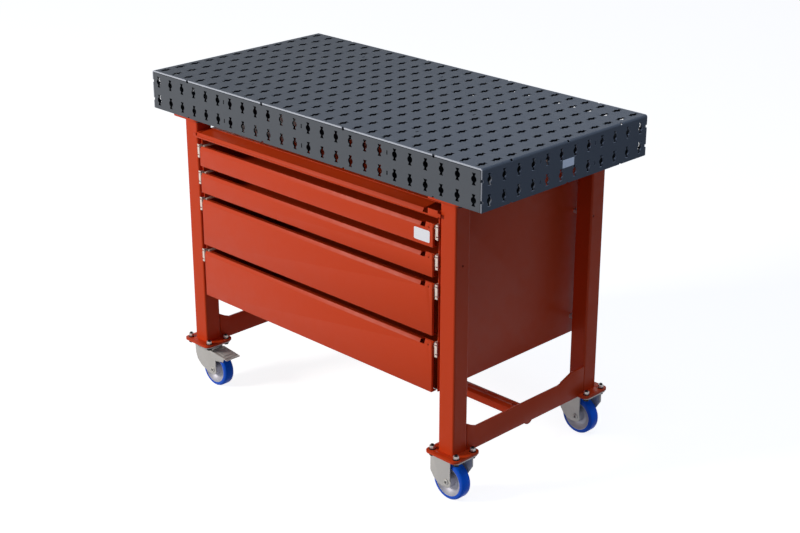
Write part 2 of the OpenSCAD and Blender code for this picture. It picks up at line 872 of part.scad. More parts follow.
module rigid_fork() {
    fork_top_z = caster_plate_z + caster_sheet / 2;
    caster_plate();
    along_y(-fork_outer, -fork_inner) difference() {
        union() {
            polygon(concat(
                [[0.25 * wheel_r, fork_top_z], [-1.07 * wheel_r, fork_top_z]],
                wheel_r * rigid_near_share
            ));
            axle_lobe();
        }
        axle_hole();
    }
    along_y(fork_inner, fork_outer) difference() {
        union() {
            polygon(concat(
                wheel_r * rigid_far_share,
                [[0.99 * wheel_r, fork_top_z], [-0.25 * wheel_r, fork_top_z]]
            ));
            axle_lobe();
        }
        axle_hole();
    }
}

module rigid_forks() {
    color(zinc) for (y = [-1, 1]) translate([leg_x, y * leg_y, 0]) rigid_fork();
}

// Axle across the fork: a pin whose hollow ends are spread over the outside of the fork legs
axle_head_r = 1.25 * axle_r;
axle_head_t = 0.4 * axle_r;

module axle() {
    end = fork_outer + axle_head_t;
    hollow_r = 0.6 * axle_r;
    half = [
        [0, end - axle_r], [hollow_r, end - axle_r], [hollow_r, end], [axle_r, end],
        [axle_head_r, fork_outer + axle_head_t / 2], [axle_head_r, fork_outer], [axle_r, fork_outer]
    ];
    color(nut_grey) translate([0, 0, wheel_z]) rotate([90, 0, 0]) rotate_extrude()
        polygon(concat(half, [for (i = [len(half) - 1:-1:0]) [half[i].x, -half[i].y]]));
}

module rigid_axles() {
    for (y = [-1, 1]) translate([leg_x, y * leg_y, 0]) axle();
}

module swivel_plates() {
    color(zinc) for (y = [-1, 1]) translate([-leg_x, y * leg_y, 0]) caster_plate();
}

// Swivel bearing: the fixed race under the plate and the kingpin through the crown of the fork
crown_z = 2.24 * wheel_r - caster_sheet;
crown_r = 34;
race_r = 30;
kingpin_head_r = 12;
kingpin_head_t = 5;

module swivel_bearings() {
    race_z = crown_z + caster_sheet + sheet_play;
    color(zinc) for (y = [-1, 1]) translate([-leg_x, y * leg_y, 0]) {
        translate([0, 0, race_z]) rotate_extrude() polygon([
            [0, 0], [crown_r - caster_sheet, 0], [race_r, caster_sheet],
            [race_r - caster_sheet, caster_plate_z - race_z], [0, caster_plate_z - race_z]
        ]);
        translate([0, 0, crown_z - sheet_play - kingpin_head_t]) {
            cylinder(r = kingpin_head_r, h = kingpin_head_t);
            cylinder(r = kingpin_r, h = kingpin_head_t + caster_sheet + 3 * sheet_play);
        }
    }
}

// Brake pedal pivot, from the wheel's middle
pivot_x = 0.14 * wheel_r;
pivot_z = 1.94 * wheel_r;
pivot_r = 3;

module swivel_fork() {
    color(zinc) {
        for (s = [-1, 1]) along_y(s > 0 ? fork_inner : -fork_outer, s > 0 ? fork_outer : -fork_inner)
            translate([swivel_trail, 0]) difference() {
                union() {
                    polygon(wheel_r * swivel_leg_share);
                    axle_lobe();
                    translate([pivot_x, pivot_z]) circle(r = 2.2 * pivot_r);
                }
                axle_hole();
                translate([pivot_x, pivot_z]) circle(r = pivot_r + pin_play);
            }
        translate([0, 0, crown_z]) linear_extrude(height = caster_sheet) difference() {
            union() {
                circle(r = crown_r);
                translate([swivel_trail - 1.48 * wheel_r, -fork_outer])
                    square([1.34 * wheel_r, 2 * fork_outer]);
            }
            circle(r = kingpin_r + pin_play);
        }
    }
}

module front_left_fork() {
    translate([-leg_x, -leg_y, 0]) swivel_fork();
}

module rear_left_fork() {
    translate([-leg_x, leg_y, 0]) swivel_fork();
}

module front_left_axle() {
    translate([swivel_trail - leg_x, -leg_y, 0]) axle();
}

module rear_left_axle() {
    translate([swivel_trail - leg_x, leg_y, 0]) axle();
}

// Brake pedal: a pressed plate over the wheel with a cheek outside each fork leg, its pivot pins,
// a turned tread at its tip and the brake shoe below it
pedal_sheet = 2;
pedal_top_share = [[-0.08, 2.17], [1.12, 2.04], [1.36, 2]];
cheek_share = [[-0.08, 2.17], [-0.08, 1.8], [0.18, 1.63], [1, 1.78], [1.12, 2.04]];
shoe_share = [[0.44, 2.08], [0.44, 1.97], [0.68, 1.97], [0.68, 2.05]];
shoe_half = 9;

module brake() {
    cheek_in = fork_outer + sheet_play;
    cheek_out = cheek_in + pedal_sheet;
    color(zinc) translate([swivel_trail, 0, 0]) {
        along_y(-cheek_out, cheek_out)
            polygon(folded(wheel_r * pedal_top_share, -pedal_sheet));
        along_y(-shoe_half, shoe_half) polygon(wheel_r * shoe_share);
        for (s = [-1, 1]) {
            along_y(s > 0 ? cheek_in : -cheek_out, s > 0 ? cheek_out : -cheek_in)
                polygon(wheel_r * cheek_share);
            along_y(s > 0 ? fork_inner : -cheek_out, s > 0 ? cheek_out : -fork_inner)
                translate([pivot_x, pivot_z]) circle(r = pivot_r);
        }
    }
}

module front_left_brake() {
    translate([-leg_x, -leg_y, 0]) brake();
}

module rear_left_brake() {
    translate([-leg_x, leg_y, 0]) brake();
}

// Wheels: half profiles from the wheel's axis outward, with the width along the second coordinate
bearing_r = 13;
rim_r = wheel_r - tyre_t;
rim_half_share = [
    [0, 1], [0.12, 1], [0.3, 0.5], [0.5, 0.24], [0.76, 0.24], [0.86, 0.8], [0.9, 0.84], [1, 0.84]
];

module rim_profile() {
    span = rim_r - bearing_r;
    upper = [for (s = rim_half_share) [bearing_r + s.x * span, s.y * hub_half]];
    polygon(concat(upper, [for (i = [len(upper) - 1:-1:0]) [upper[i].x, -upper[i].y]]));
}

// Rim with its ball bearing in the hub as a solid of its own
module rim() {
    bearing_half = 0.6 * hub_half;
    color(rim_grey) translate([0, 0, wheel_z]) rotate([90, 0, 0]) {
        rotate_extrude() rim_profile();
        rotate_extrude() translate([axle_r + pin_play, -bearing_half])
            square([bearing_r - axle_r - 2 * pin_play, 2 * bearing_half]);
    }
}

module tyre() {
    shoulder_r = 0.3 * tyre_t;
    color(tyre_blue) translate([0, 0, wheel_z]) rotate([90, 0, 0]) rotate_extrude() {
        translate([rim_r, -wheel_width / 2]) square([tyre_t - shoulder_r, wheel_width]);
        translate([rim_r, shoulder_r - wheel_width / 2]) square([tyre_t, wheel_width - 2 * shoulder_r]);
        for (s = [-1, 1]) translate([wheel_r - shoulder_r, s * (wheel_width / 2 - shoulder_r)])
            circle(r = shoulder_r);
    }
}

// Draws something at the middle of a wheel; the left wheels trail behind their swivel axes
module at_wheel(x, y) {
    translate([x > 0 ? leg_x : swivel_trail - leg_x, y * leg_y, 0]) children();
}

module front_left_rim() {
    at_wheel(-1, -1) rim();
}

module front_right_rim() {
    at_wheel(1, -1) rim();
}

module rear_left_rim() {
    at_wheel(-1, 1) rim();
}

module rear_right_rim() {
    at_wheel(1, 1) rim();
}

module front_left_tyre() {
    at_wheel(-1, -1) tyre();
}

module front_right_tyre() {
    at_wheel(1, -1) tyre();
}

module rear_left_tyre() {
    at_wheel(-1, 1) tyre();
}

module rear_right_tyre() {
    at_wheel(1, 1) tyre();
}

// Fasteners of the casters: bolts from below, washers and nuts above the base plates
caster_head_t = 8;
caster_nut_t = 8;
washer_t = 1.6;
bolt_end = 3;

module caster_bolts() {
    color(bolt_black) at_legs() at_bolts() {
        translate([0, 0, caster_plate_z])
            bolt(caster_head_t, caster_sheet + plate_t + washer_t + caster_nut_t + bolt_end);
        translate([0, 0, leg_z]) difference() {
            cylinder(r = 2 * bolt_r, h = washer_t);
            translate([0, 0, -cut]) cylinder(r = bolt_r + pin_play, h = washer_t + 2 * cut);
        }
    }
}

module caster_nuts() {
    color(nut_grey) at_legs() at_bolts() translate([0, 0, leg_z + washer_t]) nut(caster_nut_t);
}

top_plate();
front_skirt();
rear_skirt();
cross_ribs();
long_ribs();
corner_plates();
leg_top_flanges();
front_left_leg();
front_right_leg();
rear_left_leg();
rear_right_leg();
leg_base_plates();
flange_bolts();
left_crossbar();
right_crossbar();
bottom_rail();
rail_brackets();
cabinet_left_side();
cabinet_right_side();
cabinet_back();
cabinet_top();
cabinet_bottom();
cabinet_spacers();
outer_slides();
drawer_1_box();
drawer_1_front();
drawer_1_inner_slides();
drawer_1_mid_slides();
drawer_2_box();
drawer_2_front();
drawer_2_inner_slides();
drawer_2_mid_slides();
drawer_3_box();
drawer_3_front();
drawer_3_inner_slides();
drawer_3_mid_slides();
drawer_4_box();
drawer_4_front();
drawer_4_inner_slides();
drawer_4_mid_slides();
rigid_forks();
rigid_axles();
swivel_plates();
swivel_bearings();
front_left_fork();
rear_left_fork();
front_left_axle();
rear_left_axle();
front_left_brake();
rear_left_brake();
front_left_rim();
front_right_rim();
rear_left_rim();
rear_right_rim();
front_left_tyre();
front_right_tyre();
rear_left_tyre();
rear_right_tyre();
caster_bolts();
caster_nuts();
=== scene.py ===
"""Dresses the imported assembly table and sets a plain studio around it.

The frame holds every structural piece. This script gives each one its finish, rounds the edges of the
folded, welded and pressed steel, bends the drawers' pulls, the cabinet's lip and the pedals, models the
wheels, the lock nuts, the turned ends of the slides and the bare labels, and adds the floor, the lamps
and the camera. Lengths are metres in the frame's own axes, and millimetres where a name ends in mm.
"""
import json
import logging
import math
from collections.abc import Callable, Iterator
from contextlib import contextmanager
from dataclasses import dataclass
from enum import Enum

import bmesh
import bpy
from mathutils import Matrix, Vector

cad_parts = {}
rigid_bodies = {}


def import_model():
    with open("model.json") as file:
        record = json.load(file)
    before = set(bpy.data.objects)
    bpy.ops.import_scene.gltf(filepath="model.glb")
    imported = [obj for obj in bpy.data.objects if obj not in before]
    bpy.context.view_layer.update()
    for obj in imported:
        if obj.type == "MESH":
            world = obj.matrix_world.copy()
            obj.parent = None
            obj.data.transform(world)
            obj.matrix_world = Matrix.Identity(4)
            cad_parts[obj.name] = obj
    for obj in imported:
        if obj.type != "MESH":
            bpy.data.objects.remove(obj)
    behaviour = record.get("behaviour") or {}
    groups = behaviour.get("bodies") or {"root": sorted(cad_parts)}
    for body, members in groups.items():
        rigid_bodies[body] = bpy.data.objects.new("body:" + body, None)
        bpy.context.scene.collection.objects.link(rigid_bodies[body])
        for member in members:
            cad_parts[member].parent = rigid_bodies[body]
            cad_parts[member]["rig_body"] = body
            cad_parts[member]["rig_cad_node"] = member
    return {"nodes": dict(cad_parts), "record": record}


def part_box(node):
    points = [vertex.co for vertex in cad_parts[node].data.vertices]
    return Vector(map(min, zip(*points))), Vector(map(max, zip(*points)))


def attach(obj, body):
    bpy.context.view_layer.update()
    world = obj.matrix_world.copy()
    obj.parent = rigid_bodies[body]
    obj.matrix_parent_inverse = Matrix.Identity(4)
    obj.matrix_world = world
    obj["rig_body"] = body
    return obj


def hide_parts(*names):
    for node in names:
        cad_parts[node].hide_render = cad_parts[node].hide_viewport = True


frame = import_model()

LOG = logging.getLogger("assembly_table")

Object = bpy.types.Object
Material = bpy.types.Material
Socket = bpy.types.NodeSocket
Tree = bpy.types.NodeTree
Colour = tuple[float, float, float, float]
Place = tuple[float, float, float]
Pair = tuple[float, float]
Rings = tuple[Pair, ...]

MM = 0.001
TURN = 2 * math.pi
# The numbers of the drawers, from the top down.
DRAWERS = range(1, 5)
# Two places closer than this are taken as one, and corners closer than the second are merged.
NEAR = 0.1 * MM
MERGE = 0.01 * MM
# A face looks along an axis when its normal has more than this share along it.
FACING = 0.9
# Faces that meet at less than the first angle are one plane. Edges sharper than the second are creases.
FLAT_ANGLE = math.radians(1)
CREASE_ANGLE = math.radians(30)
# Noise in the finishes: its octaves, and how strong each finer one is.
OCTAVES = 2.0
FINER_SHARE = 0.55
# The rays that find an edge, and how far its rounded normal agrees with the true one there and beside it.
EDGE_RAYS = 4
EDGE_AGREES = 0.85
FLAT_AGREES = 0.99
# The patches of a finish's roughness: the noise below which it is least, and above which it is most.
PATCH_LOW = 0.3
PATCH_HIGH = 0.7


class Slot(Enum):
    """The material slots of the record, by the names that it gives them."""

    WORKTOP = "worktop_steel"
    PAINT = "frame_paint"
    SLIDE = "slide_steel"
    ZINC = "fork_zinc"
    RIM = "rim_metal"
    TYRE = "tyre_blue"
    BLACK = "bolt_black"
    NUT = "nut_steel"


class Primitive(Enum):
    """The primitives that the pieces start from."""

    CUBE = "primitive_cube_add"
    CYLINDER = "primitive_cylinder_add"
    PLANE = "primitive_plane_add"


def linear(colour: str) -> Colour:
    """Turns an sRGB hex colour into linear light, by the formula of the sRGB standard.

    Args:
        colour: Six hex digits.

    Returns:
        Red, green, blue and an alpha of one.
    """
    shares = [int(colour[i:i + 2], 16) / 255 for i in (0, 2, 4)]
    light = [share / 12.92 if share <= 0.04045 else ((share + 0.055) / 1.055) ** 2.4 for share in shares]
    return (light[0], light[1], light[2], 1.0)


def add_node(tree: Tree, kind: str, inputs: dict | None = None, **settings: object) -> bpy.types.Node:
    """Adds one shader node with its settings, and fills or links its inputs.

    Args:
        tree: The node tree.
        kind: Blender's name of the node.
        inputs: Sockets to link or constants to set, by input name or number.
        **settings: Properties of the node itself.

    Returns:
        The new node.
    """
    made = tree.nodes.new(kind)
    for name, value in settings.items():
        setattr(made, name, value)
    for name, value in (inputs or {}).items():
        if isinstance(value, Socket):
            tree.links.new(value, made.inputs[name])
        else:
            made.inputs[name].default_value = value
    return made


@dataclass(frozen=True)
class Finish:
    """A surface finish. The subclasses add what their own making leaves on the surface.

    Attributes:
        name: The material's name.
        colour: Its colour, as sRGB hex.
        roughness: Its mean roughness.
        metallic: How metallic it is.
        grain_mm: Size of its finest lumps.
        grain_depth_mm: How deep they are.
        drift: How far its colour drifts, as a share.
        round_mm: How round its edges look.
        gloss: Its specular level.
        flat_painted_light: How much lighter the flat faces are painted than the edges and creases, which
            keep a painted shade.
        cloud_mm: Size of the patches of colour.
        patch_mm: Size of the patches of roughness.
        patch_swing: How far the roughness swings about its mean.
    """

    name: str
    colour: str
    roughness: float
    metallic: float
    grain_mm: float
    grain_depth_mm: float
    drift: float
    round_mm: float
    gloss: float = 0.15
    flat_painted_light: float = 1.25
    cloud_mm: float = 60.0
    patch_mm: float = 25.0
    patch_swing: float = 0.04

    def material(self) -> Material:
        """Builds the material.

        Returns:
            The finished material.
        """
        made = bpy.data.materials.new(self.name)
        made.use_nodes = True
        tree = made.node_tree
        tree.nodes.clear()
        place = add_node(tree, "ShaderNodeTexCoord").outputs["Object"]
        shader = add_node(tree, "ShaderNodeBsdfPrincipled", {
            "Base Color": self.tint(tree, place),
            "Roughness": self.sheen(tree, place),
            "Metallic": self.metallic,
            "Specular IOR Level": self.gloss,
            "Normal": self.relief(tree, place),
        })
        add_node(tree, "ShaderNodeOutputMaterial", {"Surface": shader.outputs["BSDF"]})
        made.diffuse_color = linear(self.colour)
        return made

    def scaled(self, tree: Tree, place: Socket, stretch: Place) -> Socket:
        """Stretches the object's coordinates, for grain that runs one way."""
        return add_node(tree, "ShaderNodeMapping", {"Vector": place, "Scale": stretch}).outputs["Vector"]

    def noise(self, tree: Tree, place: Socket, size_mm: float) -> Socket:
        """Adds noise whose lumps are about size_mm across.

        Args:
            tree: The node tree.
            place: The coordinates.
            size_mm: Size of the lumps.

        Returns:
            The noise, between nought and one.
        """
        settings = {
            "Vector": place,
            "Scale": 1 / (size_mm * MM),
            "Detail": OCTAVES,
            "Roughness": FINER_SHARE,
        }
        return add_node(tree, "ShaderNodeTexNoise", settings).outputs["Fac"]

    def blend(self, tree: Tree, share: Socket, first: Socket | Colour, second: Socket | Colour) -> Socket:
        """Mixes two colours: the first at a share of nought, the second at one."""
        # The node has sockets of every type, of which these numbers are the colours'.
        return add_node(tree, "ShaderNodeMix", {0: share, 6: first, 7: second}, data_type="RGBA").outputs[2]

    def span(self, tree: Tree, value: Socket, start_pair: Pair, end_pair: Pair) -> Socket:
        """Maps one range of a value onto another.

        Args:
            tree: The node tree.
            value: The value.
            start_pair: One end of the range, before and after.
            end_pair: The other end, before and after.

        Returns:
            The mapped value, held within its ends.
        """
        # Sockets 1 and 2 are the range's ends before, and 3 and 4 its ends after.
        ends = {"Value": value, 1: start_pair[0], 2: end_pair[0], 3: start_pair[1], 4: end_pair[1]}
        return add_node(tree, "ShaderNodeMapRange", ends).outputs["Result"]

    def size_of(self, tree: Tree, value: Socket) -> Socket:
        """A number without its sign."""
        return add_node(tree, "ShaderNodeMath", {0: value}, operation="ABSOLUTE").outputs[0]

    def shade(self, factor: float) -> Colour:
        """The finish's colour made lighter or darker by a factor."""
        red, green, blue, alpha = linear(self.colour)
        return (min(red * factor, 1), min(green * factor, 1), min(blue * factor, 1), alpha)

    def flat(self, tree: Tree) -> Socket:
        """A mask of the flat faces, which fades out along the edges.

        Args:
            tree: The node tree.

        Returns:
            One on a flat face, and nought where a rounded normal leaves the true one.
        """
        soft = add_node(tree, "ShaderNodeBevel", {"Radius": 2 * self.round_mm * MM}, samples=EDGE_RAYS)
        true = add_node(tree, "ShaderNodeNewGeometry").outputs["True Normal"]
        normals = {0: soft.outputs[0], 1: true}
        agrees = add_node(tree, "ShaderNodeVectorMath", normals, operation="DOT_PRODUCT").outputs["Value"]
        return self.span(tree, agrees, (FLAT_AGREES, 1.0), (EDGE_AGREES, 0.0))

    def tint(self, tree: Tree, place: Socket) -> Socket:
        """The colour: even and painted lighter on the flat faces, and a painted shade along the edges and
        creases, deeper and drifting a little.

        Args:
            tree: The node tree.
            place: The object's coordinates.

        Returns:
            The colour.
        """
        cloud = self.noise(tree, place, self.cloud_mm)
        edges = self.blend(tree, cloud, self.shade(1 - self.drift), self.shade(1 + self.drift))
        # The flat faces take the lighter colour; the edges and creases keep the deeper one as painted shade.
        return self.blend(tree, self.flat(tree), edges, self.shade(self.flat_painted_light))

    def sheen(self, tree: Tree, place: Socket) -> Socket:
        """The roughness, which varies a little in patches.

        Args:
            tree: The node tree.
            place: The object's coordinates.

        Returns:
            The roughness.
        """
        patch = self.noise(tree, place, self.patch_mm)
        least = self.roughness - self.patch_swing
        most = self.roughness + self.patch_swing
        return self.span(tree, patch, (PATCH_LOW, least), (PATCH_HIGH, most))

    def relief(self, tree: Tree, place: Socket) -> Socket:
        """The normal: fine grain over edges that look rounded.

        Args:
            tree: The node tree.
            place: The object's coordinates.

        Returns:
            The normal.
        """
        grain = self.noise(tree, place, self.grain_mm)
        soft = add_node(tree, "ShaderNodeBevel", {"Radius": self.round_mm * MM}, samples=EDGE_RAYS)
        bump = {"Height": grain, "Distance": self.grain_depth_mm * MM, "Normal": soft.outputs[0]}
        return add_node(tree, "ShaderNodeBump", bump).outputs["Normal"]


@dataclass(frozen=True)
class PowderCoat(Finish):
    """Baked polyester powder on steel: even colour, satin gloss, a faint orange peel."""


@dataclass(frozen=True)
class BluedSheet(Finish):
    """Laser-cut steel sheet, heat-treated dark: blue-grey faces, bright cut edges, painted shade in the
    holes.

    Attributes:
        cut_colour: Brightest colour of a cut edge.
        grain_colour: The colour between the streaks that the laser leaves on it.
        seam_shadow_colour: The painted shadow in the seam under the top sheet's edge and beside the end
            walls.
        hole_shade_colour: The walls of the holes, and whatever lies away from the sheets, painted dark as
            shade.
        end_cut_and_highlight_share: How much of the bright cut colour the end walls' edges and hole walls
            get beside the top sheet's edges; in the end walls' holes it is a painted highlight.
        half_length: Reach of the worktop along X.
        half_depth: Its reach along Y.
        top: Its height.
        sheet_mm: Thickness of its sheet.
        seam_shadow_mm: Height of the seam's painted shadow.
        soft_mm: Width over which one colour fades into the next.
        streak_mm: Width of the streaks.
        streak_stretch: Their scale along X, Y and Z, so that they run upright.
        hole_wall: Shares of a normal along the sheet's own axis, in a hole's wall and on the face.
    """

    cut_colour: str = "dadde2"
    grain_colour: str = "bcc0c6"
    seam_shadow_colour: str = "2c2f33"
    hole_shade_colour: str = "1a1c1f"
    end_cut_and_highlight_share: float = 0.5
    half_length: float = 0.6
    half_depth: float = 0.3
    top: float = 0.895
    sheet_mm: float = 4.0
    seam_shadow_mm: float = 1.6
    soft_mm: float = 0.2
    streak_mm: float = 0.8
    streak_stretch: Place = (1, 1, 0.1)
    hole_wall: Pair = (0.3, 0.5)

    def beyond(self, tree: Tree, value: Socket, edge: float) -> Socket:
        """One where a coordinate is larger than an edge, nought where it is smaller."""
        half = self.soft_mm / 2 * MM
        return self.span(tree, value, (edge - half, 0.0), (edge + half, 1.0))

    def both(self, tree: Tree, first: Socket, second: Socket | float) -> Socket:
        """The product of two masks: one where both are."""
        return add_node(tree, "ShaderNodeMath", {0: first, 1: second}, operation="MULTIPLY").outputs[0]

    def either(self, tree: Tree, first: Socket, second: Socket) -> Socket:
        """The larger of two masks: one where either is."""
        return add_node(tree, "ShaderNodeMath", {0: first, 1: second}, operation="MAXIMUM").outputs[0]

    def walls(self, tree: Tree, zones: tuple[Socket, Socket, Socket]) -> Socket:
        """A mask of the holes' walls, which stand square to the sheet that they pass through.

        Args:
            tree: The node tree.
            zones: Masks of the end walls, the side walls and the top sheet, in the order X, Y, Z.

        Returns:
            The mask, which is also one away from the sheets.
        """
        normal = add_node(tree, "ShaderNodeNewGeometry").outputs["True Normal"]
        size = add_node(tree, "ShaderNodeVectorMath", {0: normal}, operation="ABSOLUTE").outputs[0]
        facing = add_node(tree, "ShaderNodeSeparateXYZ", {"Vector": size}).outputs
        faces = [self.both(tree, zone, facing[axis]) for zone, axis in zip(zones, "XYZ")]
        face = self.either(tree, self.either(tree, faces[0], faces[1]), faces[2])
        wall_share, face_share = self.hole_wall
        return self.span(tree, face, (wall_share, 1.0), (face_share, 0.0))

    def tint(self, tree: Tree, place: Socket) -> Socket:
        """The blued face, bright where the laser cut it, painted dark as shade in the holes, with a painted
        highlight in the end walls' holes and a painted shadow along the seam.

        Args:
            tree: The node tree.
            place: The object's coordinates.

        Returns:
            The colour.
        """
        base = super().tint(tree, place)
        sheet = self.sheet_mm * MM
        joint = self.seam_shadow_mm * MM
        axes = add_node(tree, "ShaderNodeSeparateXYZ", {"Vector": place}).outputs
        depth = self.size_of(tree, axes["Y"])
        length = self.size_of(tree, axes["X"])
        outside = self.beyond(tree, depth, self.half_depth - 2 * self.soft_mm * MM)
        top_sheet = self.beyond(tree, axes["Z"], self.top - sheet)
        end_sheet = self.beyond(tree, length, self.half_length - sheet)
        side_sheet = self.beyond(tree, depth, self.half_depth - sheet)
        walls = self.walls(tree, (end_sheet, side_sheet, top_sheet))
        top_edge = self.both(tree, outside, top_sheet)
        end_edge = self.both(tree, outside, end_sheet)
        # A painted shadow along the seam under the top sheet and beside the end walls.
        under_top = self.beyond(tree, axes["Z"], self.top - sheet - joint)
        beside_end = self.beyond(tree, length, self.half_length - sheet - joint)
        seam = self.both(tree, outside, self.either(tree, under_top, beside_end))
        streaks = self.noise(tree, self.scaled(tree, place, self.streak_stretch), self.streak_mm)
        cut = self.blend(tree, streaks, linear(self.grain_colour), linear(self.cut_colour))
        # The end walls' hole walls get a painted highlight, and their cut edges part of the bare colour.
        end_holes = self.both(tree, walls, end_sheet)
        dim = self.both(tree, self.either(tree, end_holes, end_edge), self.end_cut_and_highlight_share)
        bare = self.either(tree, top_edge, dim)
        # Painted shade on the walls of the holes.
        hole_shaded = self.blend(tree, walls, base, linear(self.hole_shade_colour))
        seam_shaded = self.blend(tree, seam, hole_shaded, linear(self.seam_shadow_colour))
        return self.blend(tree, bare, seam_shaded, cut)


@dataclass(frozen=True)
class PlatedSteel(Finish):
    """Zinc-plated pressed steel: a soft metal, with a faint crystal mottle in the painted shade along its
    edges.

    Attributes:
        crystal_mm: Size of the crystals.
    """

    # The flat faces are painted this much lighter than the painted shade along the edges.
    flat_painted_light: float = 1.2
    crystal_mm: float = 3.0

    def tint(self, tree: Tree, place: Socket) -> Socket:
        """The plating's colour: even and painted lighter on the flat faces, and a painted shade along the
        edges, broken up by its crystals.

        Args:
            tree: The node tree.
            place: The object's coordinates.

        Returns:
            The colour.
        """
        cells = {"Vector": place, "Scale": 1 / (self.crystal_mm * MM)}
        crystal = add_node(tree, "ShaderNodeTexVoronoi", cells).outputs["Color"]
        grey = add_node(tree, "ShaderNodeRGBToBW", {"Color": crystal}).outputs[0]
        edges = self.blend(tree, grey, self.shade(1 - self.drift), self.shade(1 + self.drift))
        return self.blend(tree, self.flat(tree), edges, self.shade(self.flat_painted_light))


@dataclass(frozen=True)
class DrawnSteel(Finish):
    """Cold-rolled and zinc-plated strip: fine lines along its length, which runs front to back.

    Attributes:
        line_stretch: Scale of the lines along X, Y and Z.
        line_strength: How much of their relief shows.
    """

    line_stretch: Place = (1, 0.02, 1)
    line_strength: float = 0.6

    def relief(self, tree: Tree, place: Socket) -> Socket:
        """Fine lines along Y, drawn as wide as they need to be to show.

        Args:
            tree: The node tree.
            place: The object's coordinates.

        Returns:
            The normal.
        """
        lines = self.noise(tree, self.scaled(tree, place, self.line_stretch), self.grain_mm)
        bump = {"Height": lines, "Distance": self.grain_depth_mm * MM, "Strength": self.line_strength}
        return add_node(tree, "ShaderNodeBump", bump).outputs["Normal"]


@dataclass(frozen=True)
class CastMetal(Finish):
    """Die-cast aluminium: matt, with a fine sandy skin."""


@dataclass(frozen=True)
class ElasticTyre(Finish):
    """Moulded blue elastic rubber: satin tread, and side walls painted a greyer blue than the tread, for the
    light that falls on them.

    Attributes:
        side_colour: Colour of the side walls, the rubber's blue painted for the light on them.
        side_half_mm: Distance of a side wall from the wheel's middle.
        side_fade_mm: Width over which the tread turns into the side wall.
        lane: Distance of the wheels' middles from the table's middle, along Y.
    """

    cloud_mm: float = 12.0
    side_colour: str = "2a62d8"
    side_half_mm: float = 15.2
    side_fade_mm: float = 3.0
    lane: float = 0.25

    def tint(self, tree: Tree, place: Socket) -> Socket:
        """Saturated tread, cloudy with wear, and side walls painted a greyer blue for the light on them.

        Args:
            tree: The node tree.
            place: The object's coordinates.

        Returns:
            The colour.
        """
        axes = add_node(tree, "ShaderNodeSeparateXYZ", {"Vector": place}).outputs
        row = self.size_of(tree, axes["Y"])
        off = add_node(tree, "ShaderNodeMath", {0: row, 1: self.lane}, operation="SUBTRACT").outputs[0]
        tread_edge = (self.side_half_mm - self.side_fade_mm) * MM
        wall = self.span(tree, self.size_of(tree, off), (tread_edge, 0.0), (self.side_half_mm * MM, 1.0))
        cloud = self.noise(tree, place, self.cloud_mm)
        tread = self.blend(tree, cloud, self.shade(1 - self.drift), self.shade(1 + self.drift))
        # The side walls take a second blue of the same rubber: painted light.
        return self.blend(tree, wall, tread, linear(self.side_colour))


# The rough dark skin of the stiffening inside the worktop, painted near-black as the shade inside the box,
# so that it hardly shows through the holes.
MILL_SCALE_AND_SHADE = Finish(
    name="hot_rolled_scale_and_shade", colour="1c1f22", roughness=0.6, metallic=0.0,
    grain_mm=0.9, grain_depth_mm=0.01, drift=0.08, round_mm=0.3, gloss=0.02,
)
# Soft pressed metal that shades gently over the forks' curves and stays grey, without a mirror's spots.
PLATED_PRESSING = PlatedSteel(
    name="zinc_plated_pressing", colour="b2afa9", roughness=0.42, metallic=0.3,
    grain_mm=1.2, grain_depth_mm=0.01, drift=0.07, round_mm=0.8,
)
# Smooth white film, the palest thing on the table, so that a bare label reads at a glance.
LABEL_FILM = Finish(
    name="white_label_film", colour="efefec", roughness=0.3, metallic=0.0,
    grain_mm=2.0, grain_depth_mm=0.004, drift=0.01, round_mm=0.2,
)
FINISHES: dict[Slot, Finish] = {
    # Nearly without gloss, so that the lamps don't whiten it and the bright cut edges stand out.
    Slot.WORKTOP: BluedSheet(
        name="blued_laser_cut_sheet", colour="5c5f62", roughness=0.5, metallic=0.0,
        grain_mm=0.9, grain_depth_mm=0.006, drift=0.04, round_mm=0.3, gloss=0.02,
    ),
    # Satin orange-red whose broad highlights and orange peel tell paint from bare metal.
    Slot.PAINT: PowderCoat(
        name="orange_powder_coat", colour="bc3a12", roughness=0.42, metallic=0.0,
        grain_mm=1.6, grain_depth_mm=0.02, drift=0.03, round_mm=0.8, gloss=0.15,
    ),
    # Warm bright strip, so that the slides' ends flash beside the drawers.
    Slot.SLIDE: DrawnSteel(
        name="drawn_slide_strip", colour="d6c6b8", roughness=0.42, metallic=0.25,
        grain_mm=0.35, grain_depth_mm=0.01, drift=0.03, round_mm=0.3,
    ),
    Slot.ZINC: PLATED_PRESSING,
    # Matt grey-violet casting, quieter than the plated fork round it.
    Slot.RIM: CastMetal(
        name="die_cast_aluminium", colour="a3a2aa", roughness=0.5, metallic=0.35,
        grain_mm=0.7, grain_depth_mm=0.02, drift=0.05, round_mm=0.6,
    ),
    # Saturated blue, the one cool colour low on the table, with a soft rubbery sheen.
    Slot.TYRE: ElasticTyre(
        name="blue_elastic_rubber", colour="0c70ff", roughness=0.42, metallic=0.0,
        grain_mm=0.8, grain_depth_mm=0.015, drift=0.1, round_mm=0.6, gloss=0.1,
    ),
    # Oiled black screws that read as dark dots.
    Slot.BLACK: Finish(
        name="black_oxide_steel", colour="161617", roughness=0.38, metallic=0.3,
        grain_mm=0.6, grain_depth_mm=0.01, drift=0.08, round_mm=0.3,
    ),
    # The sharpest metal here, so that each nut catches a glint on its chamfer.
    Slot.NUT: PlatedSteel(
        name="bright_zinc_fastener", colour="b9b6b0", roughness=0.36, metallic=0.6,
        grain_mm=0.6, grain_depth_mm=0.005, drift=0.07, round_mm=0.3,
    ),
}
